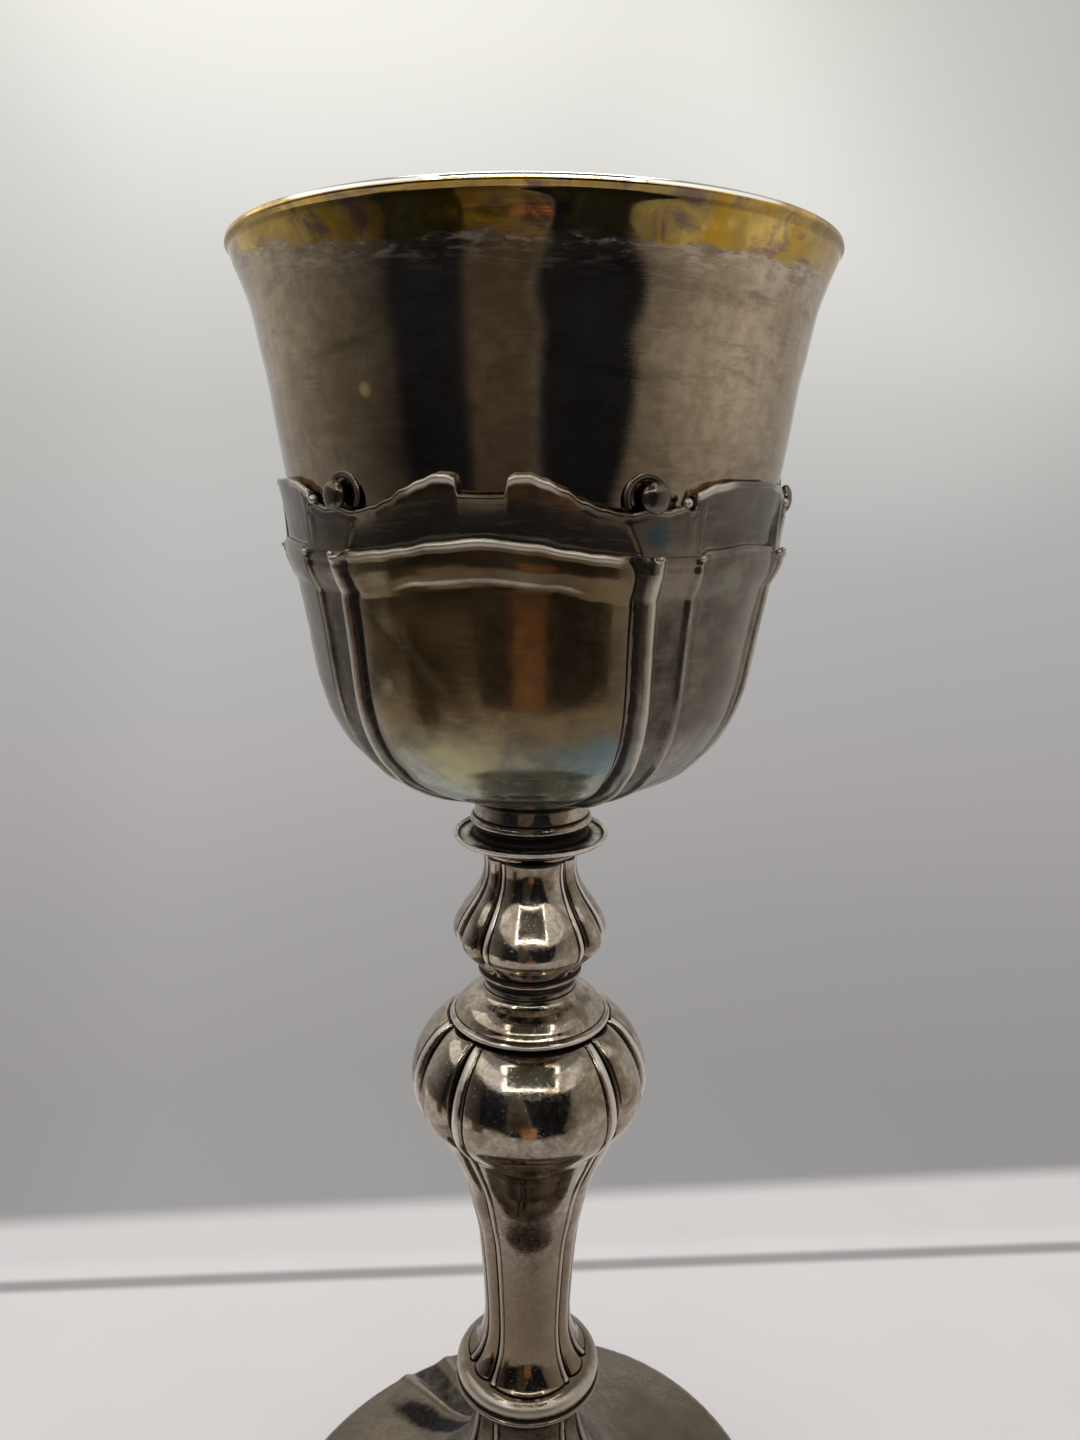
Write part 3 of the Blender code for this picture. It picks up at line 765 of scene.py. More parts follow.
foot_angles = np.unique(np.round(np.concatenate([foot_angles, lobe_angles]) % 360.0, 1))
foot_angles = foot_angles[np.append(True, np.diff(foot_angles) > 0.3)]


def press_foot(angle, radius, height):
    """Channels between two ribs, deepest on the dome and dying away at the shoulder and the ring;
    the dome's panels swell, and the whole rim leans a little to one side."""
    side = from_middle(angle - FOOT_TURN)
    f = np.abs(side)
    channel = bump(np.maximum(f, CHANNEL_HALF), CHANNEL_HALF, CHANNEL_HALF)
    rib = bump(f, RIB_ANGLE, 2.2)
    amount = rising(height, 20.6, 23.1) * rising(height, 46.0, 38.0)
    step = (RIB_RISE * rib - CHANNEL_FALL * channel) * amount
    on_dome, on_top = rising(radius, 12.0, 26.0), rising(height, 20.0, 25.0)
    outer = rising(height, 9.0, 19.0) * rising(radius, 14.0, 28.0)
    swell = (-0.35 - 1.25 * np.cos(np.radians(3.0 * f))) * outer
    lean = 0.6 * np.sin(np.radians(angle)) * outer
    radius = radius + swell * (1.0 - on_top) + lean
    height = height + 0.8 * swell * on_top
    stain = 0.7 * bump(side, 15.0, 11.0) * rising(radius, 48.0, 32.0) * (height < 40.0)
    # neck top painted dark as shade under the base ring; the channels and the stain are grime
    grime_and_shade = np.maximum(0.42 * channel * amount + stain, 0.9 * bump(height, neck_top, 7.0))
    worn = np.maximum(0.6 * rib * amount, bump(height, 6.2, 1.4) * (radius > 57.5))
    on_outside = np.arange(len(foot_line))[:, None] <= len(outside)
    return (radius + 0.4 * step * (1.0 - on_dome), height + step * on_dome,
            grime_and_shade * on_outside, worn * on_outside)


domed_foot = turned("domed_foot", foot_line, foot_angles, press_foot)
grown(domed_foot, press_lobes, "foot_metal", {
    "Plain below": 0.036, "Fade below": 0.012, "Plain above": 0.08, "Bead height": 0.03,
    "Bead width": 4.5, "Line depth": 0.03, "Line width": 1.4})

# %% [markdown]
# ## Dressing the imported model
# The finished pieces take the place of the plain solids: each one gets its metal, hangs from the
# root body, and hides the nodes it stands for. One table lists it for all nine, with a slot name
# for each metal, because nine copies of the same four calls would hide the differences. The buds
# stand for no node of their own.

# %% Dress the frame
PIECES = [(cup_bell, "cup_metal", "cup_silver_gilt", ["cup"]),
          (calyx_sheet, "calyx_metal", "calyx_silver", ["calyx"]),
          (calyx_buds, "calyx_metal", "calyx_silver", []),
          (turned_collar, "stem_metal", "stem_silver", ["collar"]),
          (small_knop, "stem_metal", "stem_silver", ["upper_knop"]),
          (domed_cap, "stem_metal", "stem_silver", ["knop_cap"]),
          (large_knop, "stem_metal", "stem_silver", ["pear_knop"]),
          (moulded_ring, "stem_metal", "stem_silver", ["base_ring"]),
          (domed_foot, "foot_metal", "foot_silver", ["foot"])]
for piece, metal, slot, nodes in PIECES:
    piece.data.materials.clear()
    piece.data.materials.append(METALS[metal])
    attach(piece, "root")
    if nodes:
        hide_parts(*nodes)
print("dressed:", [piece.name for piece, *_ in PIECES])

# %% [markdown]
# ## Effects that several finishes share
# Old silver is never one colour. It is scratched by cleaning, it browns in blotches, grime stays in
# every hollow, and the ridges are rubbed bright. Here the hollow marks also carry painted shade in
# a few recesses under overhangs. Each of these could be wired anew in every material, but then they
# would drift apart. As shader node groups they are built once, and each metal uses them with its
# own values. They put out masks and heights only; the metal itself, the Principled shader, stays in
# the material. All of them read the place on the piece in mm.

# %% Effect helpers
def vectors(operation, first, second=None, scale=None):
    """The result of a Vector Math node, which is a number for a length, distance or dot product."""
    values = {key: value for key, value in ((0, first), (1, second), ("Scale", scale))
              if value is not None}
    is_number = operation in ("LENGTH", "DISTANCE", "DOT_PRODUCT")
    return add_node("ShaderNodeVectorMath", values, int(is_number), operation=operation)


def place_in_mm(tree):
    """Where a point is on the chalice, in mm."""
    spot = add_node("ShaderNodeTexCoord", output="Object", tree=tree)
    return vectors("SCALE", spot, scale=1.0 / MM)


def round_axis(place, around, across):
    """A place in which a pattern runs round the axis: waves per radian, and per mm across."""
    x, y, z = split(place)
    flat = combined(x, y)
    turn = vectors("SCALE", vectors("NORMALIZE", flat), scale=around)
    return vectors("ADD", turn, combined(z=(z + vectors("LENGTH", flat)) * across))


def noise(place, scale, detail=3.0, rough=0.55, bend=0.0):
    """Soft random values around 0.5."""
    return add_node("ShaderNodeTexNoise", {"Vector": place, "Scale": scale, "Detail": detail,
                                           "Roughness": rough, "Distortion": bend})


print("effect helpers:", [step.__name__ for step in (vectors, place_in_mm, round_axis, noise)])


# %% Colour helpers, and an effect placed in a material
def mark_on(tree, label):
    """A number that the mesh keeps on its points."""
    return add_node("ShaderNodeAttribute", output="Fac", tree=tree, attribute_name=label)


def tone(colour):
    """A colour as the sockets want it."""
    return colour if isinstance(colour, Wire) else (*colour, 1.0)


def layered(colour, *layers):
    """A colour with others laid over it in turn, each as (share, colour)."""
    for share, shade in layers:
        colour = add_node("ShaderNodeMix", {0: share, 6: tone(colour), 7: tone(shade)}, 2,
                          data_type="RGBA")
    return colour


def colour_scale(value, stops):
    """A colour ramp over a value, through (place, colour) stops."""
    scale = add_node("ShaderNodeValToRGB", {0: value})
    elements = scale.socket.node.color_ramp.elements
    while len(elements) < len(stops):
        elements.new(0.5)
    for element, (at, colour) in zip(elements, stops):
        element.position, element.color = at, tone(colour)
    return scale


def effect(tree, group, **values):
    """An effect in a material, with its values; returns its outputs by name."""
    new = tree.nodes.new("ShaderNodeGroup")
    new.node_tree = group
    for label, value in values.items():
        feed(value, new.inputs[label.capitalize()])
    return {socket.name: Wire(socket) for socket in new.outputs}


print("a colour for a socket:", tone((0.5, 0.4, 0.3)))


# %% Group: fine scratches
def scratches_group():
    """Fine lines that run round the piece, and a few that cross them."""
    tree, given, result = new_tree("fine scratches", "ShaderNodeTree", {
        "Around": 5.0, "Across": 1.5, "Crossing": 0.5}, {"Height": "Float", "Mark": "Float"})
    place = place_in_mm(tree)
    lines = noise(round_axis(place, given["Around"], given["Across"]), 1.0, 4.0, 0.7)
    slanted = add_node("ShaderNodeMapping", {
        "Vector": place, "Rotation": (0.5, 0.9, 0.3), "Scale": (0.12, 2.4, 0.12)})
    crossing = ranged(noise(slanted, 1.0, 2.0, 0.5), 0.66, 0.76) * given["Crossing"]
    feed(lines - crossing * 0.35, result["Height"])
    feed(maths("MAXIMUM", ranged(lines, 0.52, 0.7), crossing), result["Mark"])
    return tree


fine_scratches = scratches_group()


# %% Group: tarnish
def tarnish_group():
    """Blotches that brown the silver, and a finer mottling inside them."""
    tree, given, result = new_tree("tarnish", "ShaderNodeTree", {
        "Size": 14.0, "Low": 0.42, "High": 0.62, "Bend": 0.7, "Shift": 0.0, "Detail": 6.0},
        {"Mask": "Float", "Mottle": "Float"})
    place = vectors("ADD", place_in_mm(tree), combined(x=given["Shift"], z=given["Shift"]))
    scale = 1.0 / given["Size"]
    blotch = noise(place, scale, given["Detail"], 0.62, given["Bend"])
    feed(ranged(blotch, given["Low"], given["High"]), result["Mask"])
    feed(ranged(noise(place, scale * 7.0, 5.0, 0.65), 0.35, 0.68), result["Mottle"])
    return tree


tarnish = tarnish_group()


# %% Groups: grime and painted shade in the hollows, wear on the ridges
def mark_group(name, label, size):
    """A mark kept on the points, broken up by noise and sharpened to a mask."""
    tree, given, result = new_tree(name, "ShaderNodeTree", {
        "Size": size, "Low": 0.2, "High": 0.8}, {"Mask": "Float"})
    uneven = noise(place_in_mm(tree), 1.0 / given["Size"], 4.0, 0.6)
    share = mark_on(tree, label) * (0.45 + uneven)
    feed(ranged(share, given["Low"], given["High"]), result["Mask"])
    return tree


grime_and_shade_in_hollows = mark_group("grime in hollows", "hollow", 2.5)
wear_on_ridges = mark_group("wear on ridges", "ridge", 1.5)


# %% Group: small dents
def dents_group():
    """The shallow dents and pits of long use, as a height."""
    tree, given, result = new_tree("small dents", "ShaderNodeTree", {
        "Size": 5.0, "Pits": 0.3}, {"Height": "Float"})
    place = place_in_mm(tree)
    pits = ranged(noise(place, 2.2, 2.0, 0.5), 0.66, 0.74)
    feed(noise(place, 1.0 / given["Size"], 1.0, 0.5) - pits * given["Pits"], result["Height"])
    return tree


small_dents = dents_group()

# %% [markdown]
# ## The cup's finish: tarnished silver with a gilt lip
# Silver that is wiped dry again and again gets fine lines round the bowl. They spread every
# reflection up and down but not sideways, so the reflections turn into tall bands. The outside is
# gilt for a finger's breadth below the lip, and the inside is gilt all over, because wine would eat
# bare silver. The gilding wears away in a ragged line, and a speck of it is left on the bowl, its
# middle painted lighter as a highlight. The lip's front and back are painted white, as worn silver
# and a painted highlight, with painted shade just under the lip. A painted band with a straight
# edge would look new; here the height of the edge is moved by noise before the mask is made.

# %% How every finish is wired
def finish(metal, colour, roughness, height, depth_mm, metallic=1.0):
    """Wire the metal's shader: colour, roughness, and a bump of a depth given in mm."""
    tree = METALS[metal].node_tree
    shader = tree.nodes["Principled BSDF"].inputs
    bumped = add_node("ShaderNodeBump", {"Height": height, "Distance": depth_mm * MM})
    for label, value in (("Base Color", colour), ("Roughness", roughness), ("Normal", bumped),
                         ("Metallic", metallic)):
        feed(value, shader[label])
    print("finished:", metal, "with", len(tree.nodes), "nodes")


# %% Finish the cup
GILT_DROP = (-20.5, -32.75, 233.4)
GILT_BELOW_RIM, RUBBED_BELOW_RIM, SHADE_BELOW_RIM = 5.4, 11.0, 1.45
GILT_LOSS = ((-20.0, -40.0, 2.6), (30.0, 42.0, 1.0))


def finish_cup():
    """Bands of scratches, brown blotches, worn gilding."""
    tree = METALS["cup_metal"].node_tree
    place = place_in_mm(tree)
    across, _, height = split(place)
    inside, lip = mark_on(tree, "hollow"), mark_on(tree, "ridge")

    # where the gilding ends, and where it is half rubbed away
    ragged = noise(round_axis(place, 4.5, 0.35), 1.0, 6.0, 0.65)
    edge = height + (ragged - 0.5) * 5.0
    for start, end, loss in GILT_LOSS:
        edge = edge - ranged(across, start, end, 0.0, loss)
    band = ranged(edge, rim_height - GILT_BELOW_RIM - 0.9, rim_height - GILT_BELOW_RIM)
    drop = vectors("DISTANCE", place, GILT_DROP)
    band = maths("MAXIMUM", band, ranged(drop, 0.75, 1.25, 1.0, 0.0))
    gilt = maths("MAXIMUM", band, inside)
    broken = ranged(noise(round_axis(place, 14.0, 1.0), 1.0, 5.0, 0.65), 0.45, 0.62)
    rubbed = ranged(edge, rim_height - RUBBED_BELOW_RIM, rim_height - 6.0) * broken

    # the silver, browned in blotches and darkest low down
    lines = effect(tree, fine_scratches, around=5.0, across=1.3, crossing=0.25)
    hair = effect(tree, fine_scratches, around=6.0, across=4.5, crossing=0.0)
    blotch = effect(tree, tarnish, size=17.0, low=0.4, high=0.62, bend=0.5)
    stain = noise(round_axis(place, 3.4, 0.26), 1.0, 6.0, 0.66, 0.3)
    silver = layered(
        (0.54, 0.43, 0.31), (blotch["Mask"] * 0.8, (0.36, 0.27, 0.18)),
        (blotch["Mottle"] * 0.5, (0.24, 0.18, 0.12)),
        (ranged(stain, 0.48, 0.72, 0.0, 0.7), (0.2, 0.15, 0.1)),
        (lines["Mark"] * 0.3, (0.64, 0.54, 0.43)), (rubbed * 0.55, (0.7, 0.62, 0.52)),
        (ranged(height, rim_height - 32.0, rim_height - 17.0, 0.4, 0.0), (0.12, 0.095, 0.07)))

    # the gold, from straw to olive, with violet patches and a painted highlight on the gilt speck
    patches = effect(tree, tarnish, size=6.0, low=0.5, high=0.66, bend=0.8, shift=40.0)
    olive = effect(tree, tarnish, size=13.0, low=0.44, high=0.6, bend=0.5, shift=55.0, detail=3.0)
    streak = noise(place, 0.16, 4.0, 0.55)
    gold = layered(
        (0.8, 0.55, 0.17), (ranged(streak, 0.42, 0.58), (0.62, 0.36, 0.035)),
        (olive["Mask"] * 0.6, (0.4, 0.29, 0.1)), (olive["Mottle"] * 0.3, (0.3, 0.2, 0.08)),
        (patches["Mask"] * 0.8, (0.2, 0.13, 0.15)),
        (ranged(drop, 0.3, 1.0, 0.8, 0.0), (0.95, 0.85, 0.55)))

    # painted shade under the rolled lip; the lip painted white: wear and a painted highlight
    from_shade = maths("ABSOLUTE", height - (rim_height - SHADE_BELOW_RIM))
    shade = ranged(from_shade, 0.35, 0.75, 0.4, 0.0) * (1.0 - inside)
    colour = layered(silver, (gilt, gold), (shade, (0.1, 0.07, 0.03)),
                     (ranged(lip, 0.3, 0.8), (0.95, 0.93, 0.86)))
    rough = 0.045 + blotch["Mottle"] * 0.06 + rubbed * (1.0 - gilt) * 0.2
    relief = (hair["Height"] + lines["Height"] * 0.7) * (1.0 - gilt * 0.75)
    finish("cup_metal", colour, rough, relief, 0.008)


finish_cup()

# %% [markdown]
# ## The calyx's finish: dark, coloured tarnish
# Pressed sheet that is never polished grows a thick skin of tarnish, which shows film colours:
# straw, brown, violet and blue, in that order, as it gets thicker. The edges are rubbed bright.
# The Principled shader's thin film would make such colours too, but they are hard to place with
# it. Here a colour ramp gives their order, the tarnish effect and the height above the stem say how
# thick the skin is, and two clouds low on the front panel, one straw and one blue, are set at given
# places. Low down the sheet is painted lighter as a painted reflection of the pale table, and from
# the belt up it is painted darker as painted shade under the rolled edge.

# %% Finish the calyx
BLUE_SPOT = (15.4, -34.3, 216.3)
BLUE_CLOUD, YELLOW_CLOUD = (8.5, -29.0, calyx_base + 12.0), (-8.5, -29.0, calyx_base + 13.0)
FILM = ((0.0, (0.21, 0.15, 0.075)), (0.2, (0.16, 0.11, 0.05)), (0.4, (0.1, 0.065, 0.03)),
        (0.54, (0.25, 0.21, 0.12)), (0.68, (0.24, 0.24, 0.155)), (0.8, (0.2, 0.22, 0.2)),
        (0.9, (0.18, 0.2, 0.22)), (1.0, (0.24, 0.21, 0.22)))


def finish_calyx():
    """Film colours, a painted reflection low down, painted shade under the edge, bright ridges."""
    tree = METALS["calyx_metal"].node_tree
    place = place_in_mm(tree)
    x, y, height = split(place)
    above_base = height - calyx_base
    skin = effect(tree, tarnish, size=15.0, low=0.3, high=0.72, bend=0.6, shift=15.0, detail=1.5)
    thick = effect(tree, tarnish, size=26.0, low=0.5, high=0.7, bend=0.5, shift=90.0, detail=1.5)
    thickness = (skin["Mask"] * 0.45 + ranged(above_base, 2.0, 22.0, 0.3, 0.0)
                 + thick["Mask"] * 0.36)

    # beyond the ribs the sheet is greyer than in the middle of the wide panels
    angle = maths("DEGREES", maths("ARCTAN2", x, -y)) - CALYX_TURN
    fold = maths("ABSOLUTE", maths("WRAP", angle, HALF_REPEAT, -HALF_REPEAT))
    cloudy = effect(tree, tarnish, size=9.0, low=0.36, high=0.64, bend=0.3, shift=140.0, detail=5.0)
    grey = layered((0.27, 0.24, 0.205), (cloudy["Mask"], (0.1, 0.095, 0.09)),
                   (cloudy["Mottle"] * 0.4, (0.09, 0.08, 0.07)))
    spot = vectors("DISTANCE", place, BLUE_SPOT)
    # lighter low down: painted reflection of the table; darker from the belt up: painted shade
    colour = layered(
        colour_scale(thickness, FILM), (ranged(above_base, 8.0, 20.0, 0.7, 0.0), (0.4, 0.43, 0.35)),
        (skin["Mottle"] * 0.35, (0.08, 0.065, 0.05)), (ranged(fold, 25.0, 35.0, 0.0, 0.6), grey),
        (ranged(above_base, 41.0, 43.0, 0.0, 0.5), (0.06, 0.05, 0.045)),
        (ranged(spot, 0.5, 2.8, 0.85, 0.0), (0.045, 0.085, 0.11)))
    for centre, shade in ((BLUE_CLOUD, (0.1, 0.2, 0.26)), (YELLOW_CLOUD, (0.52, 0.47, 0.24))):
        away = vectors("DISTANCE", place, centre) + cloudy["Mask"] * 3.5
        colour = layered(colour, (ranged(away, 2.5, 9.5, 0.6, 0.0), shade))

    # grime and painted shade in the hollows, wear and scratches lie over the film colours
    grime_and_shade = effect(tree, grime_and_shade_in_hollows, low=0.14, high=0.6)["Mask"]
    worn = effect(tree, wear_on_ridges, size=4.0, low=0.3, high=0.95)["Mask"]
    lines = effect(tree, fine_scratches, around=6.0, across=1.2, crossing=0.8)
    dents = effect(tree, small_dents, size=9.0, pits=0.0)
    colour = layered(colour, (grime_and_shade * 0.93, (0.03, 0.024, 0.02)), (worn * 0.7, (0.72, 0.66, 0.57)),
                     (lines["Mark"] * 0.12, (0.4, 0.37, 0.33)))
    rough = 0.12 + skin["Mottle"] * 0.1 + grime_and_shade * 0.3 + worn * 0.28
    finish("calyx_metal", colour, rough, lines["Height"] * 0.12 + dents["Height"], 0.06, 0.9)


finish_calyx()

# %% [markdown]
# ## The stem's and the foot's finish: brighter silver, handled and worn
# The stem is what hands hold, so it is the brightest silver, with black grime in its grooves. The
# foot is duller and more blotched, because nobody rubs it. Both are the same recipe with other
# values, so one function makes them. The large knop's waist is browner than the knops, which are
# gripped, so one layer of brown grows downwards over the stem.

# %% Finish the stem and the foot
def finish_silver(metal, light, brown, blotch_size, browning, smooth, mottled, dent_size, dent_mm):
    """Worn silver: blotches, grime and painted shade in hollows, wear on ridges, fine dents."""
    tree = METALS[metal].node_tree
    height = split(place_in_mm(tree))[2]
    blotch = effect(tree, tarnish, size=blotch_size, low=0.4, high=0.66, bend=0.9, shift=70.0)
    lines = effect(tree, fine_scratches, around=5.0, across=1.6, crossing=0.9)
    dents = effect(tree, small_dents, size=dent_size, pits=0.3)
    grime_and_shade = effect(tree, grime_and_shade_in_hollows, low=0.14, high=0.52)["Mask"]
    worn = effect(tree, wear_on_ridges, low=0.3, high=0.85)["Mask"]
    colour = layered(
        light, (blotch["Mask"] * browning, brown), (blotch["Mottle"] * (browning * 0.6), brown),
        (lines["Mark"] * 0.2, (0.62, 0.57, 0.51)), (ranged(height, 82.0, 112.0, 0.85, 0.0), brown),
        (worn * ranged(height, 86.0, 118.0, 0.45, 0.8), (0.8, 0.75, 0.68)),
        (grime_and_shade, (0.018, 0.015, 0.013)))
    rough = smooth + blotch["Mottle"] * mottled + grime_and_shade * 0.35 + worn * 0.3
    finish(metal, colour, rough, lines["Height"] * 0.15 + dents["Height"], dent_mm)


finish_silver("stem_metal", light=(0.5, 0.44, 0.365), brown=(0.2, 0.15, 0.1), blotch_size=6.5,
              browning=0.95, smooth=0.06, mottled=0.13, dent_size=5.0, dent_mm=0.045)
finish_silver("foot_metal", light=(0.5, 0.425, 0.335), brown=(0.15, 0.12, 0.085), blotch_size=8.0,
              browning=1.0, smooth=0.2, mottled=0.2, dent_size=6.0, dent_mm=0.08)

# %% [markdown]
# ## The camera and the table
# The camera stands close in front, a little above the middle of the cup, and looks down by about
# twelve degrees, so most of the foot is below its view. The table is a sheet of pale board with a
# crease near its back edge; a folded mesh would do it too, but a soft dark line of painted shade in
# the board's colour, and a little painted shade behind it, is enough for something so far behind.
# The board has no gloss, so that the cards that only silver sees don't show in it. It isn't part
# of the chalice.

# %% Place the camera
CAMERA_PLACE, CAMERA_LENS = (0.0, -0.1657, 0.2216), 26.235
LOOK_DOWN, PAN, ROLL = 12.34, -0.464, 0.487
scene = bpy.context.scene
scene.view_settings.view_transform = "Standard"
camera = bpy.data.objects.new("camera", bpy.data.cameras.new("camera"))
scene.collection.objects.link(camera)
scene.camera = camera
camera.data.lens, camera.data.sensor_width = CAMERA_LENS, 36.0
camera.location = CAMERA_PLACE
turns = [Matrix.Rotation(np.radians(angle), 4, axis)
         for angle, axis in ((PAN, "Z"), (90.0 - LOOK_DOWN, "X"), (ROLL, "Z"))]
camera.rotation_euler = (turns[0] @ turns[1] @ turns[2]).to_euler()
print("camera looks down by", LOOK_DOWN, "degrees from", CAMERA_PLACE[2] / MM, "mm above the table")

# %% Lay the table
BOARD_TURN, BACK_TURN = 0.056, 0.08
CREASE, BOARD_BACK, BOARD_SIDE = 99.5, (125.0, 136.0), (520.0, 600.0)


def staged(name, verts, faces, material):
    """A mesh that belongs to the stage, not to the chalice."""
    mesh = bpy.data.meshes.new(name)
    mesh.from_pydata(verts, [], faces)
    mesh.materials.append(material)
    thing = bpy.data.objects.new(name, mesh)
    scene.collection.objects.link(thing)
    return thing


def flat_sheet(low_x, high_x, low_y, high_y, z):
    """The corners of a level sheet, in metres."""
    return [(low_x, low_y, z), (high_x, low_y, z), (high_x, high_y, z), (low_x, high_y, z)]


def board_material():
    """Pale board, a little uneven, with painted shade along the crease and behind it, and a soft
    edge.
    """
    made = bpy.data.materials.new("pale_board")
    made.use_nodes = True
    place = place_in_mm(made.node_tree)
    x, y, _ = split(place)
    line = y - x * BOARD_TURN
    # painted shade: a soft dark line along the crease, and a little more behind it
    crease = ranged(maths("ABSOLUTE", line - CREASE), 0.6, 3.6, 0.6, 0.0)
    beyond = ranged(line, CREASE + 4.5, CREASE + 12.5, 0.0, 0.08)
    uneven = ranged(noise(place, 0.03), 0.3, 0.7, 0.0, 0.02)
    sides = ranged(maths("ABSOLUTE", x), *BOARD_SIDE, 1.0, 0.0)
    ends = (ranged(y - x * BACK_TURN, *BOARD_BACK, 1.0, 0.0)
            * ranged(y, -BOARD_SIDE[1], -BOARD_SIDE[0]))
    colour = layered((0.75, 0.715, 0.72), (crease + beyond + uneven, (0.12, 0.11, 0.11)))
    shader = made.node_tree.nodes["Principled BSDF"].inputs
    for label, value in (("Base Color", colour), ("Alpha", sides * ends), ("Roughness", 0.7),
                         ("Specular IOR Level", 0.0)):
        feed(value, shader[label])
    return made


staged("table", flat_sheet(-0.6, 0.6, -0.6, 0.2, -0.0001), [(0, 1, 2, 3)], board_material())
print("table laid, with its crease", CREASE, "mm behind the chalice's axis")

# %% [markdown]
# ## Light: a white tent
# Silver shows its surroundings, so lighting it means building what it reflects. The chalice stands
# in a white cloth tent that is lit from outside: brightest above, greyer lower down. A world colour
# that changes with height does that with no lamps, and one wide soft lamp adds the shadow under
# the foot. The colours are a ramp over the sine of the direction's height, which is the Z of the
# direction itself, and a few soft patches make the cloth behind lighter or darker here and there.

# %% Light the tent
TENT = ((-90.0, (0.5, 0.49, 0.49)), (-45.0, (0.42, 0.41, 0.41)), (-37.0, (0.325, 0.32, 0.318)),
        (-30.0, (0.325, 0.315, 0.31)), (-22.0, (0.36, 0.345, 0.345)), (-14.0, (0.42, 0.405, 0.4)),
        (-6.0, (0.455, 0.45, 0.445)), (4.0, (0.52, 0.515, 0.5)), (13.0, (0.66, 0.65, 0.62)),
        (21.0, (0.76, 0.75, 0.7)), (32.0, (0.75, 0.75, 0.72)), (50.0, (0.4, 0.4, 0.39)),
        (90.0, (0.25, 0.25, 0.25)))
PATCHES = (((-0.13, 0.87, 0.47), 0.93, 1.0, 0.16), ((0.3, 0.93, 0.2), 0.955, 1.0, 0.2),
           ((0.46, 0.77, 0.44), 0.93, 0.99, -0.34))


def light_tent():
    """A world that is grey low down and bright above, a little brighter to the left."""
    world = bpy.data.worlds.new("white_tent")
    scene.world = world
    world.use_nodes = True
    direction = add_node("ShaderNodeTexCoord", output="Generated", tree=world.node_tree)
    x, _, z = split(direction)
    stops = [(0.5 + 0.5 * float(np.sin(np.radians(degrees))), colour) for degrees, colour in TENT]
    strength = 1.0 - x * 0.2 - ranged(x, -0.3, -0.46, 0.0, 0.13)
    for way, start, end, gain in PATCHES:
        strength = strength + ranged(vectors("DOT_PRODUCT", direction, way), start, end, 0.0, gain)
    background = world.node_tree.nodes["Background"].inputs
    feed(colour_scale((z + 1.0) * 0.5, stops), background["Color"])
    feed(strength, background["Strength"])


light_tent()
LAMP_SIZE, LAMP_WATTS = 0.6, 6.3
lamp = bpy.data.lights.new("soft_lamp", "AREA")
lamp.size, lamp.energy = LAMP_SIZE, LAMP_WATTS
lamp_object = bpy.data.objects.new("soft_lamp", lamp)
scene.collection.objects.link(lamp_object)
lamp_object.location, lamp_object.rotation_euler = (-0.05, 0.35, 1.0), (0.25, 0.0, 0.0)
lamp_object.visible_glossy = False
print("tent lit from", TENT[0][0], "to", TENT[-1][0], "degrees; lamp of", LAMP_WATTS, "W")

# %% [markdown]
# ## What the silver sees in front
# The open front of the tent is where the dark bands on the bowl come from: black cloth on both
# sides of a narrow brown gap, with the right cloth drawn aside at a slant. Pale walls stand beyond
# it, the floor in front is partly lit and partly brown, and a warm board leans low in the middle.
# Above is the rest of the opening, with a strip of lamps round its frame; that strip makes the
# small bright boxes on the knops. A painted surroundings image could do all this, but a card can
# be moved by one number. Only glossy rays see the cards, so they are in nobody's view and throw no
# shadow.

# %% What a card is
CARD_POINTS, CARD_LIFT = 17, 0.0005
CARD_FACES = [(i, i + 1, i + CARD_POINTS + 1, i + CARD_POINTS) for i in range(CARD_POINTS - 1)]


def only_in_reflections(thing, shine=1.0):
    """Hide a card from the camera, from soft light and from shadows, and set how much it shines."""
    layer = thing.data.attributes.new("shine", "FLOAT", "POINT")
    layer.data.foreach_set("value", np.full(len(thing.data.vertices), shine, np.float32))
    for ray in ("camera", "diffuse", "shadow", "transmission", "volume_scatter"):
        setattr(thing, "visible_" + ray, False)


def glowing(name, colour, strength):
    """A material that only shines, by as much as the card's own mark says."""
    made = bpy.data.materials.new(name)
    made.use_nodes = True
    nodes = made.node_tree.nodes
    nodes.remove(nodes["Principled BSDF"])
    light = add_node("ShaderNodeEmission", {
        "Color": tone(colour), "Strength": mark_on(made.node_tree, "shine") * strength})
    feed(light, nodes["Material Output"].inputs["Surface"])
    return made


print("a card has", CARD_POINTS, "points on each long side")


# %% Cards of three shapes
def ring_points(sides, distances, z):
    """Points at a height and at distances from the axis, between two angles."""
    angles = np.radians(np.linspace(*sides, CARD_POINTS))
    return [(d * np.sin(a), -d * np.cos(a), z) for d, a in zip(distances, angles)]


def curved_card(name, sides, heights, distance, material, shine=(1.0, 1.0), high_sides=None):
    """A strip of a cylinder round the chalice, between two angles and two heights in metres. Its
    shine runs evenly from the first angle to the last. Its upper side may have its own angles."""
    distances = np.full(CARD_POINTS, distance)
    verts = (ring_points(sides, distances, heights[0])
             + ring_points(high_sides or sides, distances, heights[1]))
    only_in_reflections(staged(name, verts, CARD_FACES, material),
                        np.tile(np.linspace(*shine, CARD_POINTS), 2))


def floor_card(name, sides, near, material, far=0.475, bend=0.0):
    """A piece of a flat ring on the table. Its near side draws back by `bend` towards its ends."""
    nears = near + bend * np.abs(np.linspace(-0.7, 1.0, CARD_POINTS)) ** 1.6
    fars = np.full(CARD_POINTS, far)
    verts = ring_points(sides, nears, CARD_LIFT) + ring_points(sides, fars, CARD_LIFT)
    only_in_reflections(staged(name, verts, CARD_FACES, material))


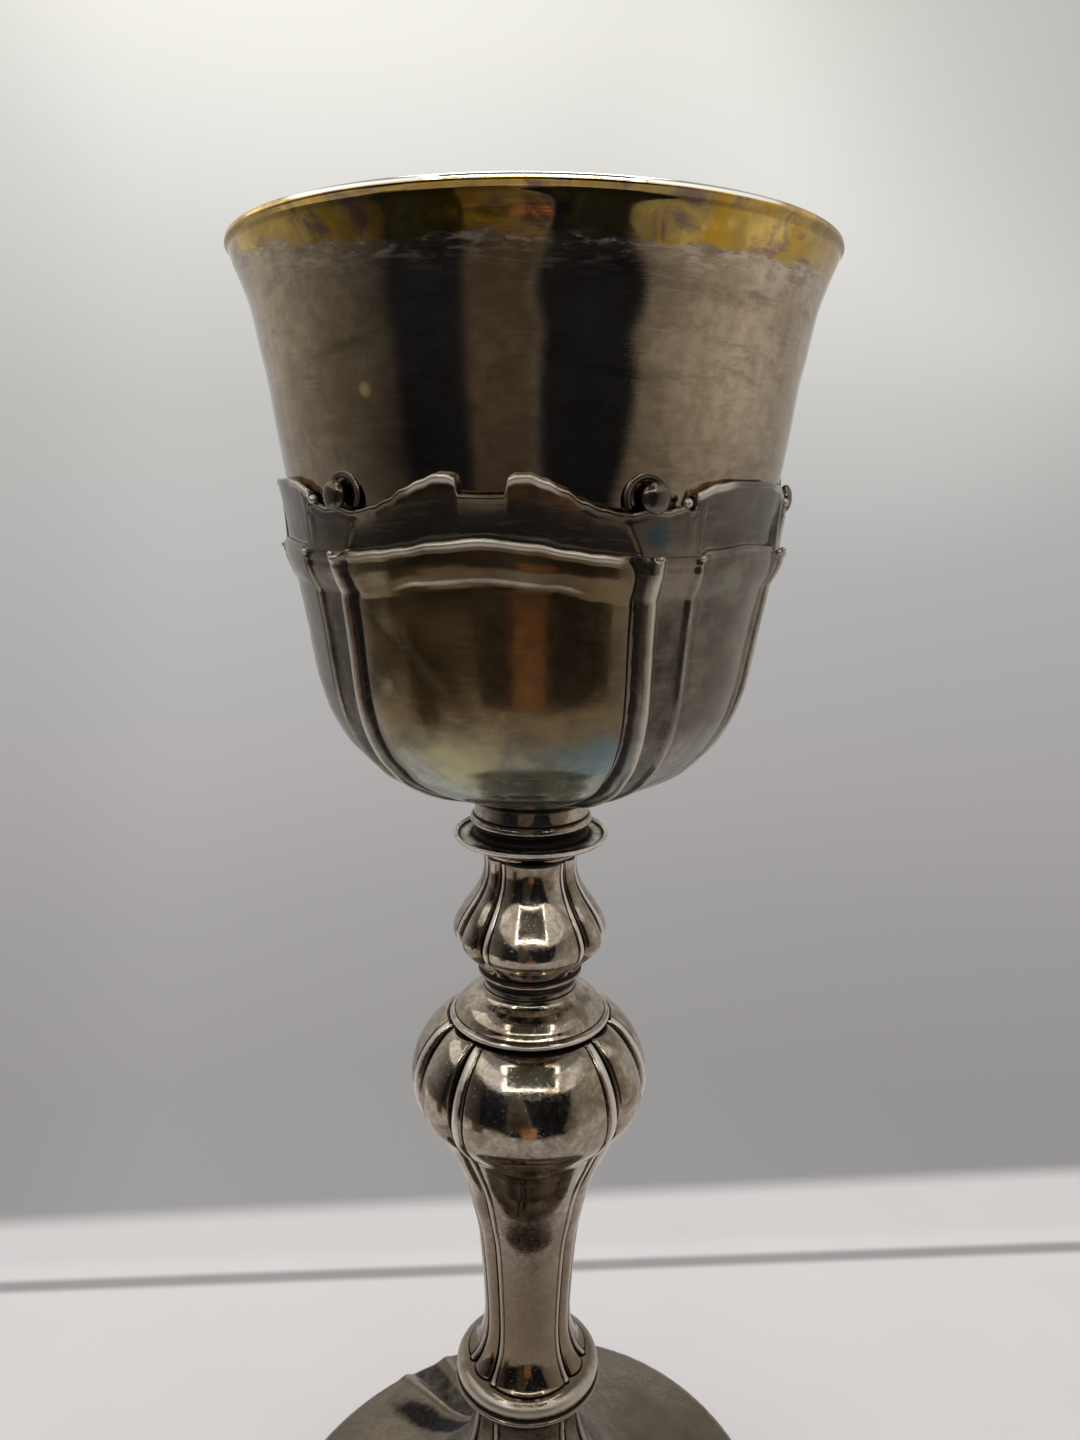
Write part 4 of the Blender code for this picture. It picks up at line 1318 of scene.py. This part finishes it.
def flat_card(name, low_x, high_x, low_z, high_z, y, material):
    """An upright card in front of the chalice, in metres: its sides at its foot and at its top."""
    verts = [(low_x[0], y, low_z), (low_x[1], y, low_z), (high_x[1], y, high_z),
             (high_x[0], y, high_z)]
    only_in_reflections(staged(name, verts, [(0, 1, 2, 3)], material))


print("cards of three shapes:", [card.__name__ for card in (curved_card, floor_card, flat_card)])

# %% Hang the cards
FRONT, ABOVE = (-0.25, 0.4), (0.4, 0.72)
black_cloth = glowing("black_cloth", (0.8, 0.9, 1.2), 0.02)
brown_gap = glowing("brown_gap", (1.0, 0.82, 0.64), 0.1)
pale_wall = glowing("pale_wall", (1.0, 0.97, 0.92), 1.0)
warm_wall = glowing("warm_wall", (1.0, 0.95, 0.86), 1.0)
bright_wall = glowing("bright_wall", (1.0, 0.98, 0.94), 0.95)
brown_floor = glowing("brown_floor", (1.0, 0.78, 0.5), 0.13)
lit_table = glowing("lit_table", (1.0, 0.98, 0.93), 0.85)
warm_board = glowing("warm_board", (1.0, 0.5, 0.25), 0.48)
room_behind = glowing("room_behind", (0.95, 1.0, 0.85), 0.12)
lamp_strip = glowing("lamp_strip", (1.0, 0.98, 0.93), 9.0)
curved_card("wall_left", (-130.0, -84.0), FRONT, 0.475, pale_wall, (0.55, 0.19))
curved_card("wall_dim", (-84.0, -54.0), FRONT, 0.475, warm_wall, (0.19, 0.04))
curved_card("wall_lit_left", (-122.0, -38.0), ABOVE, 0.475, bright_wall, (1.5, 1.0))
curved_card("wall_lit_right", (38.0, 100.0), ABOVE, 0.475, bright_wall, (1.2, 0.8))
curved_card("cloth_left", (-54.0, -25.0), FRONT, 0.47, black_cloth)
curved_card("cloth_right", (17.0, 22.0), FRONT, 0.47, black_cloth, high_sides=(-9.0, 51.0))
curved_card("gap_between", (-25.0, 18.0), FRONT, 0.48, brown_gap)
curved_card("door_edge", (15.4, 17.0), FRONT, 0.468, pale_wall, (0.2, 0.2), (-10.6, -9.0))
floor_card("cloth_below", (-27.0, 38.5), 0.28, black_cloth, bend=0.09)
floor_card("brown_below", (-64.0, -50.0), 0.25, brown_floor)
floor_card("brown_beside", (-50.0, -27.0), 0.37, brown_floor)
floor_card("table_lit_left", (-115.0, -70.0), 0.24, lit_table, far=0.474)
curved_card("wall_right", (22.0, 88.0), FRONT, 0.475, warm_wall, (0.25, 0.62), (51.0, 88.0))
curved_card("wall_far_right", (88.0, 150.0), FRONT, 0.475, pale_wall, (0.6, 0.45))
curved_card("board_low", (-9.0, 7.0), (0.0, 0.09), 0.3, warm_board)
flat_card("opening", (-0.31, 0.31), (-0.9, 0.9), 0.4, 2.2, -0.455, room_behind)
for name, low_x, high_x, low_z, high_z in (
        ("lamps_low", (-0.32, 0.32), (-0.33, 0.33), 0.485, 0.515),
        ("lamps_high", (-0.85, 0.85), (-0.95, 0.95), 2.0, 2.3),
        ("lamps_left", (-0.32, -0.27), (-0.9, -0.76), 0.5, 2.1),
        ("lamps_right", (0.285, 0.32), (0.8, 0.9), 0.5, 2.1)):
    flat_card(name, low_x, high_x, low_z, high_z, -0.45, lamp_strip)
ceiling = staged("ceiling_lamp", flat_sheet(-0.3, 0.3, -0.12, 0.25, 0.95), [(0, 1, 2, 3)],
                 glowing("ceiling_glow", (1.0, 0.99, 0.95), 3.0))
only_in_reflections(ceiling)
print("cards hung:", sum("shine" in mesh.attributes for mesh in bpy.data.meshes))
